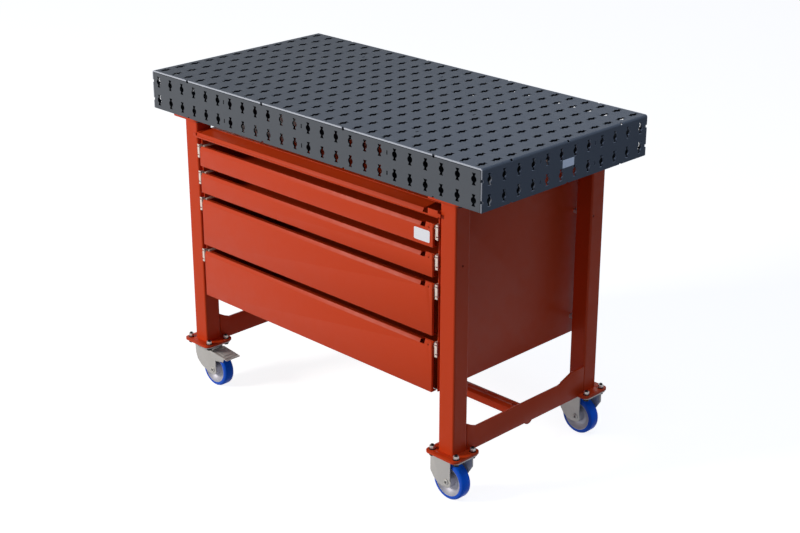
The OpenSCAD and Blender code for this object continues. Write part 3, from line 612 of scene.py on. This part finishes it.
# Frame nodes whose finish isn't that of their slot.
NODE_FINISHES: dict[str, Finish] = {
    # The stiffening and the corner plates inside the worktop: mill scale, painted darker as shade.
    "cross_ribs": MILL_SCALE_AND_SHADE,
    "long_ribs": MILL_SCALE_AND_SHADE,
    "corner_plates": MILL_SCALE_AND_SHADE,
    "rigid_axles": PLATED_PRESSING,
    "front_left_axle": PLATED_PRESSING,
    "rear_left_axle": PLATED_PRESSING,
}


class Paintbox:
    """Keeps one material for each finish, so that pieces of one finish share it."""

    def __init__(self) -> None:
        """Starts with no material made."""
        self.made: dict[str, Material] = {}

    def material(self, finish: Finish) -> Material:
        """Gives the finish's material, made on first use.

        Args:
            finish: The finish.

        Returns:
            Its one material.
        """
        if finish.name not in self.made:
            self.made[finish.name] = finish.material()
        return self.made[finish.name]


PAINTS = Paintbox()


def deselect() -> None:
    """Leaves edit mode and deselects every object."""
    if bpy.context.object is not None and bpy.context.object.mode != "OBJECT":
        bpy.ops.object.mode_set(mode="OBJECT")
    for other in bpy.context.selected_objects:
        other.select_set(False)


def take(piece: Object) -> None:
    """Selects a piece alone and makes it the active one.

    Args:
        piece: The piece.
    """
    deselect()
    piece.select_set(True)
    bpy.context.view_layer.objects.active = piece


def start(primitive: Primitive, name: str, **settings: object) -> Object:
    """Adds a primitive at its size and place, with its place moved into its mesh.

    Args:
        primitive: Which primitive.
        name: The piece's name.
        **settings: The operator's settings.

    Returns:
        The new object, selected and active.
    """
    deselect()
    getattr(bpy.ops.mesh, primitive.value)(**settings)
    piece = bpy.context.object
    piece.name = name
    bpy.ops.object.transform_apply(location=True, rotation=True, scale=True)
    return piece


@contextmanager
def editing(piece: Object) -> Iterator[None]:
    """Holds a piece in edit mode with nothing selected.

    Args:
        piece: The piece to edit.

    Yields:
        Nothing; the piece is back in object mode afterwards.
    """
    take(piece)
    bpy.ops.object.mode_set(mode="EDIT")
    bpy.ops.mesh.select_all(action="DESELECT")
    yield
    bpy.ops.object.mode_set(mode="OBJECT")


def choose_faces(piece: Object, wanted: Callable[[Vector, Vector], bool]) -> None:
    """Selects some faces of a piece in edit mode, and no others.

    Args:
        piece: The piece.
        wanted: Tells from a face's middle and normal whether it is selected.
    """
    bpy.ops.mesh.select_mode(type="FACE")
    mesh = bmesh.from_edit_mesh(piece.data)
    for face in mesh.faces:
        face.select_set(wanted(face.calc_center_median(), face.normal))
    bmesh.update_edit_mesh(piece.data)


def choose_edges(piece: Object, wanted: Callable[[Vector, Vector], bool]) -> None:
    """Selects some edges of a piece in edit mode, and no others.

    Args:
        piece: The piece.
        wanted: Tells from an edge's two ends whether it is selected.
    """
    bpy.ops.mesh.select_mode(type="EDGE")
    mesh = bmesh.from_edit_mesh(piece.data)
    for edge in mesh.edges:
        edge.select_set(False)
    for edge in mesh.edges:
        if wanted(edge.verts[0].co, edge.verts[1].co):
            edge.select_set(True)
    bmesh.update_edit_mesh(piece.data)


def slice_across(place: Place, normal: Place) -> None:
    """Cuts the whole piece in edit mode along a plane, and leaves it in one.

    Args:
        place: A point of the plane.
        normal: The plane's normal.
    """
    bpy.ops.mesh.select_all(action="SELECT")
    bpy.ops.mesh.bisect(plane_co=place, plane_no=normal)


def raise_rings(rings: Rings) -> None:
    """Works inward over the chosen faces, ring by ring.

    Args:
        rings: For each ring its width and how far it rises, in millimetres.
    """
    for width, rise in rings:
        bpy.ops.mesh.inset(thickness=width * MM, depth=rise * MM, use_even_offset=True)


def apply_modifiers(piece: Object) -> None:
    """Applies every modifier of a piece, in order.

    Args:
        piece: The piece.
    """
    take(piece)
    for modifier in list(piece.modifiers):
        bpy.ops.object.modifier_apply(modifier=modifier.name)


def soften(piece: Object, width_mm: float, segments: int = 2) -> None:
    """Rounds a piece's sharp edges with an applied bevel.

    Args:
        piece: The piece.
        width_mm: Width of the rounding.
        segments: Steps across it.
    """
    bevel = piece.modifiers.new("rounding", "BEVEL")
    bevel.width = width_mm * MM
    bevel.segments = segments
    bevel.limit_method = "ANGLE"
    bevel.angle_limit = CREASE_ANGLE
    apply_modifiers(piece)


def dress(piece: Object, body: str, slot: Slot, finish: Finish | None = None) -> Object:
    """Shades a finished piece, gives it its finish and lets it ride on its body.

    Args:
        piece: The piece.
        body: The frame's body that carries it.
        slot: The record's material slot.
        finish: The finish, if it isn't the slot's own.

    Returns:
        The same piece.
    """
    take(piece)
    bpy.ops.object.shade_smooth_by_angle(angle=CREASE_ANGLE)
    piece.data.materials.clear()
    piece.data.materials.append(PAINTS.material(finish or FINISHES[slot]))
    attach(piece, body)
    LOG.info("%s: %d faces on %s", piece.name, len(piece.data.polygons), body)
    return piece


def repeat(piece: Object, name: str, shift: Place) -> Object:
    """Copies a piece with a mesh of its own and moves the copy.

    Args:
        piece: The piece to copy.
        name: Name of the copy.
        shift: How far the copy is moved.

    Returns:
        The copy.
    """
    copy = piece.copy()
    copy.data = piece.data.copy()
    copy.name = name
    copy.data.transform(Matrix.Translation(shift))
    bpy.context.scene.collection.objects.link(copy)
    return copy


def join(pieces: list[Object], name: str) -> Object:
    """Joins pieces into one object.

    Args:
        pieces: The pieces.
        name: Name of the whole.

    Returns:
        The whole, which is the first of the pieces.
    """
    deselect()
    for piece in pieces:
        piece.select_set(True)
    bpy.context.view_layer.objects.active = pieces[0]
    bpy.ops.object.join()
    pieces[0].name = name
    return pieces[0]


def node_body(node: str) -> str:
    """Finds the body that a frame node belongs to.

    Args:
        node: The node.

    Returns:
        The body's name.
    """
    for body, nodes in frame["record"]["behaviour"]["bodies"].items():
        if node in nodes:
            return body
    raise KeyError(node)


def node_slot(node: str) -> Slot:
    """Finds the material slot of a frame node.

    Args:
        node: The node.

    Returns:
        The slot.
    """
    for row in frame["record"]["subparts"]:
        if row["node"] == node:
            return Slot(row["material_slot"])
    raise KeyError(node)


def middle(node: str) -> Vector:
    """The middle of a frame node's box."""
    low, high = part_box(node)
    return (low + high) / 2


@dataclass(frozen=True)
class Bend:
    """A row of corners that runs along a folded sheet, and how far it moves, in millimetres.

    Attributes:
        back: Least and greatest distance of the corners behind the sheet's front.
        up: Least and greatest height of the corners above one of the sheet's edges.
        move: How far the corners move backward and up.
    """

    back: Pair
    up: Pair
    move: Pair

    def holds(self, back: float, up: float) -> bool:
        """Whether a corner is in the row."""
        return self.back[0] <= back <= self.back[1] and self.up[0] <= up <= self.up[1]


@dataclass
class SheetWork:
    """The folded, welded and pressed steel, whose edges are rounded as coated sheet's are.

    Attributes:
        folded_mm: Rounding of the painted sheet and plates.
        side_mm: Rounding of the cabinet's sides.
        pressed_mm: Rounding of the forks and their plates.
        pedal_mm: Rounding of the pedals.
        slope_mm: Depth of the slope behind the lip over the drawers.
        pull_bend: The pull's upper fold, set 5.2 mm behind the drawer's face and 8.4 mm above its bend.
        top_bend: The front of the cabinet's flat top, measured from its upper edge.
        lip_bends: Two rows of the fold behind the lip, its upper corner and its lower edge, all of them
            measured from its lower edge.
        side_bends: The front of a side's upper edge, and the row about 10 mm behind it.
        hump_drop_mm: How far below a pedal's highest point its plate reaches.
        hump_rings: The hump pressed up in the plate.
        tip_mm: Length of the pedal's tip.
        tip_drop_mm: How far below the highest point the tip reaches.
        groove_rings: The groove pressed down in the tip.
    """

    folded_mm: float = 0.6
    side_mm: float = 0.3
    pressed_mm: float = 0.5
    pedal_mm: float = 0.4
    slope_mm: float = 30.0
    pull_bend: Bend = Bend(back=(10.5, 13.5), up=(-10.5, -7.0), move=(-6.8, 2.4))
    top_bend: Bend = Bend(back=(14.5, 18.0), up=(-2.0, 1.0), move=(slope_mm, 0.0))
    lip_bends: tuple[Bend, ...] = (
        Bend(back=(14.5, 18.0), up=(13.0, 15.5), move=(-10.4, -0.3)),
        Bend(back=(10.5, 14.0), up=(13.0, 15.5), move=(-7.0, -0.3)),
        Bend(back=(-1.0, 3.0), up=(7.0, 10.0), move=(0.0, -2.7)),
        Bend(back=(-1.0, 11.0), up=(-1.0, 2.0), move=(0.0, 1.8)),
    )
    side_bends: tuple[Bend, ...] = (
        Bend(back=(-1.0, 2.0), up=(-1.0, 1.0), move=(0.0, -5.2)),
        Bend(back=(8.0, 12.0), up=(-1.0, 1.0), move=(0.0, -3.6)),
    )
    hump_drop_mm: float = 6.0
    hump_rings: Rings = ((8.0, 0.0), (1.6, 1.3), (1.6, 0.5))
    tip_mm: float = 12.5
    tip_drop_mm: float = 12.0
    groove_rings: Rings = ((2.2, 0.0), (0.7, -0.9))

    def build(self) -> None:
        """Rounds the steel whose edges show from a step away."""
        for i in DRAWERS:
            self.rounded(f"drawer_{i}_front", self.folded_mm, self.steepen_pull)
        self.rounded("cabinet_top", self.folded_mm, self.slope_lip)
        for side in ("left", "right"):
            self.rounded(f"cabinet_{side}_side", self.side_mm, self.slope_side)
        for node in ("left_crossbar", "right_crossbar", "leg_top_flanges",
                     "leg_base_plates", "bottom_rail", "rail_brackets"):
            self.rounded(node, self.folded_mm)
        for node in ("rigid_forks", "swivel_plates", "front_left_fork", "rear_left_fork"):
            self.rounded(node, self.pressed_mm)
        for node in ("front_left_brake", "rear_left_brake"):
            self.rounded(node, self.pedal_mm, self.press_pedal)

    def rounded(self, node: str, width_mm: float, reshape: Callable[[Object], None] | None = None) -> Object:
        """Stands a copy with rounded edges in for a frame node.

        Args:
            node: The node.
            width_mm: Width of the rounding.
            reshape: Edits the merged copy in edit mode before its edges are rounded.

        Returns:
            The new piece.
        """
        source = frame["nodes"][node]
        piece = source.copy()
        piece.data = source.data.copy()
        piece.name = node + "_sheet"
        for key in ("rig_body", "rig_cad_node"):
            if key in piece:
                del piece[key]
        piece.parent = None
        bpy.context.scene.collection.objects.link(piece)
        with editing(piece):
            bpy.ops.mesh.select_all(action="SELECT")
            bpy.ops.mesh.remove_doubles(threshold=MERGE)
            bpy.ops.mesh.customdata_custom_splitnormals_clear()
            if reshape:
                reshape(piece)
            bpy.ops.mesh.select_all(action="SELECT")
            bpy.ops.mesh.dissolve_limited(angle_limit=FLAT_ANGLE)
        soften(piece, width_mm)
        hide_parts(node)
        return dress(piece, node_body(node), node_slot(node))

    def bend(self, piece: Object, row: Bend, front: float, edge: float) -> None:
        """Moves one row of corners of a piece in edit mode.

        Args:
            piece: The piece.
            row: The row and its move.
            front: Y of the sheet's front.
            edge: Z of the edge that the row is measured from.
        """
        bpy.ops.mesh.select_mode(type="VERT")
        mesh = bmesh.from_edit_mesh(piece.data)
        for corner in mesh.verts:
            corner.select_set(row.holds((corner.co.y - front) / MM, (corner.co.z - edge) / MM))
        bmesh.update_edit_mesh(piece.data)
        backward, upward = row.move
        bpy.ops.transform.translate(value=(0, backward * MM, upward * MM))

    def steepen_pull(self, piece: Object) -> None:
        """Bends a drawer's pull up to a steeper band that catches the light."""
        low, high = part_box(piece.name.removesuffix("_sheet"))
        self.bend(piece, self.pull_bend, low.y, high.z)

    def slope_lip(self, piece: Object) -> None:
        """Gives the lip over the drawers a short face, a steep band and a gentle slope up to the top.

        Args:
            piece: The cabinet's top, in edit mode.
        """
        low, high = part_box("cabinet_top")
        self.bend(piece, self.top_bend, low.y, high.z)
        for row in self.lip_bends:
            self.bend(piece, row, low.y, low.z)

    def slope_side(self, piece: Object) -> None:
        """Lowers the front of a cabinet side's upper edge under the sloped top.

        Args:
            piece: The side, in edit mode.
        """
        low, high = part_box(piece.name.removesuffix("_sheet"))
        slice_across((0, low.y + self.slope_mm * MM, 0), (0, 1, 0))
        for row in self.side_bends:
            self.bend(piece, row, low.y, high.z)

    def press_pedal(self, piece: Object) -> None:
        """Presses a hump into a brake pedal's plate and a groove across its tip.

        Args:
            piece: The pedal, in edit mode.
        """
        low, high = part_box(piece.name.removesuffix("_sheet"))
        tip = high.x - self.tip_mm * MM
        plate_low = high.z - self.hump_drop_mm * MM
        tip_low = high.z - self.tip_drop_mm * MM
        bpy.ops.mesh.select_all(action="SELECT")
        bpy.ops.mesh.dissolve_limited(angle_limit=FLAT_ANGLE)
        choose_faces(piece, lambda spot, normal: normal.z > FACING and spot.x < tip and spot.z > plate_low)
        raise_rings(self.hump_rings)
        choose_faces(piece, lambda spot, normal: normal.z > FACING and spot.x > tip and spot.z > tip_low)
        raise_rings(self.groove_rings)


@dataclass
class SlideEnds:
    """The bright turned ends of the outer slides, seated on the cabinet beside each drawer.

    Attributes:
        inner_mm: Distance of an end's inner face from the table's middle.
        front_mm: Y of its front.
        seat_mm: Y of the face that seats on the cabinet.
        sheet_mm: Thickness of its sheet.
        width_mm: Its width across the front.
        height_mm: Its height.
        drop_mm: How far its top is below the drawer front's.
        slit_mm: Height of each of its two slits.
        upper_mm: Distance of the upper slit's lower side from the top.
        lower_mm: Distance of the lower slit's lower side from the bottom.
        rounding_mm: Width of its rounded edges.
    """

    inner_mm: float = 438.6
    front_mm: float = -279.0
    seat_mm: float = -268.0
    sheet_mm: float = 1.5
    width_mm: float = 7.9
    height_mm: float = 37.0
    drop_mm: float = 2.5
    slit_mm: float = 2.6
    upper_mm: float = 7.0
    lower_mm: float = 6.0
    rounding_mm: float = 0.2

    def build(self) -> None:
        """Adds an end on each side of each drawer."""
        for i in DRAWERS:
            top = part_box(f"drawer_{i}_front")[1].z / MM - self.drop_mm
            for name, side in (("left", -1), ("right", 1)):
                self.end(f"slide_end_{i}_{name}", side, top)

    def end(self, name: str, side: int, top: float) -> None:
        """Bends one end out of an arm: a flange across its front, slit in two places.

        Args:
            name: The piece's name.
            side: One on the right, minus one on the left.
            top: Height of its upper edge in millimetres.
        """
        sheet = self.sheet_mm
        across = side * (self.inner_mm + sheet / 2)
        centre = (across, (self.front_mm + self.seat_mm) / 2, top - self.height_mm / 2)
        size = (sheet, self.seat_mm - self.front_mm, self.height_mm)
        place = [length * MM for length in centre]
        piece = start(Primitive.CUBE, name, size=1, location=place, scale=[length * MM for length in size])
        bend = (self.front_mm + sheet) * MM
        slits = (top - self.upper_mm, top - self.height_mm + self.lower_mm)

        def is_flange(spot: Vector, normal: Vector) -> bool:
            """Tells whether the flange grows from a face: on the outer side, and not in a slit.

            Args:
                spot: The face's middle.
                normal: Its normal.

            Returns:
                True where the flange grows.
            """
            slit = any(low * MM < spot.z < (low + self.slit_mm) * MM for low in slits)
            return normal.x * side > FACING and spot.y < bend and not slit

        with editing(piece):
            slice_across((0, bend, 0), (0, 1, 0))
            for low in slits:
                for edge in (low, low + self.slit_mm):
                    slice_across((0, 0, edge * MM), (0, 0, 1))
            choose_faces(piece, is_flange)
            reach = (side * (self.width_mm - sheet) * MM, 0, 0)
            bpy.ops.mesh.extrude_region_move(TRANSFORM_OT_translate={"value": reach})
        soften(piece, self.rounding_mm)
        dress(piece, "root", Slot.SLIDE)


@dataclass
class Wheel:
    """One wheel: a die-cast rim with a blue elastic tyre.

    Attributes:
        corner: The caster's name, such as front_left.
        tyre_mm: Thickness of the tyre.
        shoulder_mm: Width of its moulded shoulder.
        shoulder_steps: Steps across the shoulder.
        shoulder_profile: How full the shoulder is.
        lip_inset_mm: How far the rim's lip lies inside the tyre's side.
        web_mm: Thickness of the rim's web.
        edge_mm: Rounding of the casting's edges.
        sides: Steps round the wheel.
    """

    corner: str
    tyre_mm: float = 10.0
    shoulder_mm: float = 5.5
    shoulder_steps: int = 4
    shoulder_profile: float = 0.42
    lip_inset_mm: float = 0.6
    web_mm: float = 7.0
    edge_mm: float = 0.4
    sides: int = 96

    def build(self) -> None:
        """Models the tyre and the rim in place of the frame's plain ones."""
        self.tyre()
        self.rim()

    def disc(self, name: str, centre: Vector, radius: float, width: float) -> Object:
        """A cylinder that lies along Y."""
        return start(Primitive.CYLINDER, name, vertices=self.sides, radius=radius, depth=width,
                     location=centre, rotation=(TURN / 4, 0, 0))

    def tyre(self) -> None:
        """Tyre: a ring with moulded shoulders beside its tread."""
        node = self.corner + "_tyre"
        centre = middle(node)
        low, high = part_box(node)
        radius = (high.z - low.z) / 2
        half = (high.y - low.y) / 2
        piece = self.disc(node + "_moulded", centre, radius, 2 * half)

        def is_rim_of_tread(one: Vector, other: Vector) -> bool:
            """Tells whether an edge runs round the tread, where it meets a side.

            Args:
                one: One end of the edge.
                other: Its other end.

            Returns:
                True for such an edge.
            """
            reaches = [math.hypot(end.x - centre.x, end.z - centre.z) for end in (one, other)]
            along = abs(one.y - other.y) < NEAR
            return min(reaches) > radius - NEAR and along and abs(abs(one.y - centre.y) - half) < NEAR

        with editing(piece):
            choose_faces(piece, lambda spot, normal: abs(normal.y) > FACING)
            raise_rings(((self.tyre_mm, 0),))
            bpy.ops.mesh.bridge_edge_loops()
            choose_edges(piece, is_rim_of_tread)
            bpy.ops.mesh.bevel(offset=self.shoulder_mm * MM, segments=self.shoulder_steps,
                               profile=self.shoulder_profile, affect="EDGES")
        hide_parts(node)
        dress(piece, self.corner + "_wheel", Slot.TYRE)

    def rim(self) -> None:
        """Rim: a raised lip, a dished web and a hub that stands out on both sides."""
        node = self.corner + "_rim"
        centre = middle(node)
        low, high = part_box(node)
        tyre_low, tyre_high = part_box(self.corner + "_tyre")
        radius = (tyre_high.z - tyre_low.z) / 2 - self.tyre_mm * MM
        hub_half = (high.y - low.y) / 2
        lip_half = (tyre_high.y - tyre_low.y) / 2 - self.lip_inset_mm * MM
        piece = self.disc(node + "_cast", centre, radius, 2 * lip_half)
        web_drop = lip_half / MM - self.web_mm / 2
        hub_rise = (hub_half - lip_half) / MM + web_drop
        with editing(piece):
            choose_faces(piece, lambda spot, normal: abs(normal.y) > FACING)
            raise_rings(self.face_rings(web_drop, hub_rise))
        soften(piece, self.edge_mm)
        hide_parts(node)
        dress(piece, self.corner + "_wheel", Slot.RIM)

    def face_rings(self, web_drop: float, hub_rise: float) -> Rings:
        """The steps of a rim's face, from the tyre inward to the axle.

        Args:
            web_drop: How far the web lies below the lip, in millimetres.
            hub_rise: How far the hub's face stands above the web, in millimetres.

        Returns:
            The rings, whose last lies level with the hub's face.
        """
        return (
            (1.5, 0.0),  # The flat lip beside the tyre.
            (0.5, -0.8),  # The lip's inner corner, turned down in two steps.
            (0.5, -1.0),
            (10.5, 2.6 - web_drop),  # The dish, which runs down to the web.
            (1.6, -0.8),  # The fillet at its foot.
            (8.6, 0.4),  # The web, which rises a little toward the hub.
            (1.6, hub_rise - 1.0),  # The hub's sloped side.
            (0.6, 0.6),  # Its chamfer.
            (3.0, 0.0),  # Its flat ring.
            (0.4, -1.2),  # The groove round the bush: its outer wall,
            (3.4, 0.3),  # its floor
            (0.3, 0.9),  # and its inner wall.
        )


@dataclass
class LockNuts:
    """The bright lock nuts that hold the casters, on the washers of their bolts.

    Attributes:
        across_mm: Width across the flats.
        height_mm: Height of a nut.
        chamfer_mm: Width of the chamfer on its upper face.
        chamfer_fall: How far the chamfer falls, as a share of its width.
        rounding_mm: Rounding of its corners.
        rounding_steps: Steps across the rounding.
        washer_mm: Thickness of the washer under it.
        washer_radius_mm: Radius of the washer, which gives the reach of the frame's bolts.
    """

    across_mm: float = 13.0
    height_mm: float = 8.0
    chamfer_mm: float = 1.2
    chamfer_fall: float = 0.45
    rounding_mm: float = 0.5
    rounding_steps: int = 3
    washer_mm: float = 1.6
    washer_radius_mm: float = 8.0

    def build(self) -> None:
        """Makes one nut, repeats it over every bolt and joins them in place of the frame's plain ones."""
        places = self.bolt_places()
        first = places[0]
        nut = self.nut("nut", first + Vector((0, 0, self.washer_mm * MM)))
        others = [repeat(nut, f"nut_{i}", tuple(place - first)) for i, place in enumerate(places[1:])]
        piece = join([nut] + others, "caster_lock_nuts")
        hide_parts("caster_nuts")
        dress(piece, "root", Slot.NUT)

    def nut(self, name: str, seat: Vector) -> Object:
        """A hexagon with its upper face chamfered.

        Args:
            name: The piece's name.
            seat: Middle of the face that it stands on.

        Returns:
            The nut.
        """
        height = self.height_mm * MM
        fall = self.chamfer_fall * self.chamfer_mm
        piece = start(Primitive.CYLINDER, name, vertices=6, radius=self.across_mm / math.sqrt(3) * MM,
                      depth=height, location=seat + Vector((0, 0, height / 2)))
        with editing(piece):
            choose_faces(piece, lambda spot, normal: normal.z > FACING)
            raise_rings(((self.chamfer_mm, fall),))
            bpy.ops.transform.translate(value=(0, 0, -fall * MM))
        soften(piece, self.rounding_mm, self.rounding_steps)
        return piece

    def bolt_places(self) -> list[Vector]:
        """Finds the middles of the sixteen bolts, at the top of the base plates.

        Returns:
            The places, caster by caster.
        """
        low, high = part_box("caster_bolts")
        plate_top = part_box("leg_base_plates")[1].z
        leg = middle("front_right_leg")
        reach_x = high.x - leg.x - self.washer_radius_mm * MM
        reach_y = -low.y + leg.y - self.washer_radius_mm * MM
        places = []
        for leg_x in (-leg.x, leg.x):
            for leg_y in (leg.y, -leg.y):
                for along in (-reach_x, reach_x):
                    for across in (-reach_y, reach_y):
                        places.append(Vector((leg_x + along, leg_y + across, plate_top)))
        return places


@dataclass
class Casters:
    """What shows of the four casters beside their pressed steel: the wheels and the nuts."""

    corners: tuple[str, ...] = ("front_left", "front_right", "rear_left", "rear_right")

    def build(self) -> None:
        """Models the wheels and the lock nuts of all four casters."""
        for corner in self.corners:
            Wheel(corner).build()
        LockNuts().build()


@dataclass
class Labels:
    """Two bare label plates, where the real table carries its maker's.

    Attributes:
        film_mm: Thickness of the film.
        end_mm: Width and height of the label on the worktop's right end.
        end_place: Y and Z of its middle.
        end_corner_mm: Radius of its corners.
        drawer_mm: Width and height of the label on the upper drawer.
        drawer_place: X and Z of its middle.
        drawer_corner_mm: Radius of its corners.
        corner_steps: Steps round a corner.
    """

    film_mm: float = 0.15
    end_mm: Pair = (42.0, 20.0)
    end_place: Pair = (0.0, 0.841)
    end_corner_mm: float = 1.0
    drawer_mm: Pair = (51.5, 30.0)
    drawer_place: Pair = (0.39725, 0.6825)
    drawer_corner_mm: float = 4.0
    corner_steps: int = 6

    def build(self) -> None:
        """Adds the label on the worktop's right end and the one on the upper drawer."""
        end_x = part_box("top_plate")[1].x
        end_middle = Vector((end_x, *self.end_place))
        self.plate("end_label", end_middle, (0, *self.end_mm), "root", self.end_corner_mm)
        x, z = self.drawer_place
        front_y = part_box("drawer_1_front")[0].y
        width, height = self.drawer_mm
        front_middle = Vector((x, front_y, z))
        self.plate("drawer_label", front_middle, (width, 0, height), "drawer_1", self.drawer_corner_mm)

    def plate(self, name: str, place: Vector, size_mm: Place, body: str, corner_mm: float) -> None:
        """A thin plate with rounded corners.

        Args:
            name: The piece's name.
            place: Middle of the face that it sticks to.
            size_mm: Its size; the axis that is zero is the one that it faces.
            body: The body that carries it.
            corner_mm: Radius of its corners.
        """
        size = [(side or self.film_mm) * MM for side in size_mm]
        facing = size_mm.index(0)
        shift = Vector((0, 0, 0))
        shift[facing] = math.copysign(self.film_mm / 2 * MM, place[facing])
        piece = start(Primitive.CUBE, name, size=1, location=place + shift, scale=size)
        with editing(piece):
            choose_edges(piece, lambda one, other: abs(one[facing] - other[facing]) > NEAR)
            bpy.ops.mesh.bevel(offset=corner_mm * MM, segments=self.corner_steps, affect="EDGES")
        soften(piece, self.film_mm / 3, 1)
        dress(piece, body, Slot.NUT, LABEL_FILM)


@dataclass(frozen=True)
class Lamp:
    """A square soft lamp.

    Attributes:
        name: Its name.
        place: Where it hangs.
        aim: The point that it faces.
        side: Its side.
        watts: Its power.
        colour: Its colour, as sRGB hex.
    """

    name: str
    place: Place
    aim: Place
    side: float
    watts: float
    colour: str

    def hang(self) -> None:
        """Adds the lamp to the scene, turned to the point that it faces."""
        data = bpy.data.lights.new(self.name, "AREA")
        data.size = self.side
        data.energy = self.watts
        data.color = linear(self.colour)[:3]
        lamp = bpy.data.objects.new(self.name, data)
        lamp.location = self.place
        lamp.rotation_euler = (Vector(self.aim) - Vector(self.place)).to_track_quat("-Z", "Y").to_euler()
        bpy.context.scene.collection.objects.link(lamp)


# The main light, warm and from the front left, so that the drawers are bright and the right end is dark.
KEY = Lamp(
    name="key", place=(-3.65, -6.5, 3.55), aim=(0, 0, 0.55), side=2.0, watts=445, colour="fffaf4",
)
# A weak cool light over the right half of the worktop, which lifts the top sheet from its walls.
OVERHEAD = Lamp(
    name="overhead", place=(0.9, 0.1, 2.4), aim=(0.6, 0, 0.9), side=0.9, watts=13, colour="cfe0ff",
)


@dataclass
class Studio:
    """Pale floor, soft lamps and the camera at the photograph's place.

    Attributes:
        white: The white that the camera sees round the table.
        floor_side: Side of the floor.
        floor_colour: Colour that the floor throws back onto the table.
        shown_colour: Colour by which the camera sees the lamps' light and the shadow on the floor.
        glow: How strongly the floor glows to the camera, so that it looks white.
        sky_colour: Colour of the sky's light.
        sky_strength: Strength of the sky's light.
        lamps: The lamps.
        focal_px: The camera's focal length in pixels of the photograph.
        image_px: The photograph's width in pixels.
        sensor_mm: Width of the camera's sensor.
        camera_place: Where the camera stands.
        camera_turn: How it is turned.
    """

    white: str = "ffffff"
    floor_side: float = 30.0
    floor_colour: str = "a4aab6"
    shown_colour: str = "aeaeae"
    glow: float = 0.88
    sky_colour: str = "8296b4"
    sky_strength: float = 0.44
    lamps: tuple[Lamp, ...] = (KEY, OVERHEAD)
    focal_px: float = 1607.6
    image_px: float = 800.0
    sensor_mm: float = 36.0
    camera_place: Place = (2.8538, -2.8092, 2.0094)
    camera_turn: Place = (math.radians(68.229), 0.0, math.radians(45.016))

    def build(self) -> None:
        """Makes the floor, the sky, the lamps and the camera."""
        self.floor()
        self.sky()
        for lamp in self.lamps:
            lamp.hang()
        self.camera()

    def seen(self, tree: Tree) -> Socket:
        """Tells the rays that see the white studio from those that carry its light.

        Args:
            tree: The node tree.

        Returns:
            One for camera, mirror and glass rays, and nought for the others.
        """
        path = add_node(tree, "ShaderNodeLightPath").outputs
        direct = {0: path["Is Camera Ray"], 1: path["Is Glossy Ray"]}
        rays = add_node(tree, "ShaderNodeMath", direct, operation="ADD").outputs[0]
        through = {0: rays, 1: path["Is Transmission Ray"]}
        return add_node(tree, "ShaderNodeMath", through, operation="ADD", use_clamp=True).outputs[0]

    def floor(self) -> None:
        """A white floor that keeps the table's shadow."""
        piece = start(Primitive.PLANE, "floor", size=self.floor_side)
        made = bpy.data.materials.new("pale_floor")
        made.use_nodes = True
        tree = made.node_tree
        tree.nodes.clear()
        plain = add_node(tree, "ShaderNodeBsdfDiffuse", {"Color": linear(self.floor_colour)}).outputs[0]
        light = {"Color": linear(self.white), "Strength": self.glow}
        glow = add_node(tree, "ShaderNodeEmission", light).outputs[0]
        soft = add_node(tree, "ShaderNodeBsdfDiffuse", {"Color": linear(self.shown_colour)}).outputs[0]
        shown = add_node(tree, "ShaderNodeAddShader", {0: glow, 1: soft}).outputs[0]
        mix = add_node(tree, "ShaderNodeMixShader", {0: self.seen(tree), 1: plain, 2: shown}).outputs[0]
        add_node(tree, "ShaderNodeOutputMaterial", {"Surface": mix})
        piece.data.materials.append(made)

    def sky(self) -> None:
        """A world that fills the shadows faintly blue, and looks white."""
        world = bpy.data.worlds.new("studio")
        bpy.context.scene.world = world
        world.use_nodes = True
        tree = world.node_tree
        tree.nodes.clear()
        light = {"Color": linear(self.sky_colour), "Strength": self.sky_strength}
        fill = add_node(tree, "ShaderNodeBackground", light).outputs[0]
        shown = {"Color": linear(self.white), "Strength": 1.0}
        white = add_node(tree, "ShaderNodeBackground", shown).outputs[0]
        mix = add_node(tree, "ShaderNodeMixShader", {0: self.seen(tree), 1: fill, 2: white}).outputs[0]
        add_node(tree, "ShaderNodeOutputWorld", {"Surface": mix})

    def camera(self) -> None:
        """The camera, fitted to the worktop's grid of holes in the photograph."""
        data = bpy.data.cameras.new("camera")
        data.sensor_width = self.sensor_mm
        data.sensor_fit = "HORIZONTAL"
        data.lens = self.focal_px * self.sensor_mm / self.image_px
        camera = bpy.data.objects.new("camera", data)
        camera.location = self.camera_place
        camera.rotation_euler = self.camera_turn
        bpy.context.scene.collection.objects.link(camera)
        bpy.context.scene.camera = camera


def dress_frame() -> None:
    """Gives every frame node its own finish, or else the finish of its slot."""
    for name, piece in frame["nodes"].items():
        finish = NODE_FINISHES.get(name, FINISHES[node_slot(name)])
        piece.data.materials.clear()
        piece.data.materials.append(PAINTS.material(finish))


def main() -> None:
    """Builds the pieces in order, then the studio."""
    logging.basicConfig(level=logging.INFO, format="%(name)s: %(message)s")
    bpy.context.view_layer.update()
    bpy.context.scene.view_settings.view_transform = "Standard"
    dress_frame()
    SheetWork().build()
    SlideEnds().build()
    Casters().build()
    Labels().build()
    Studio().build()


if __name__ == "__main__":
    main()
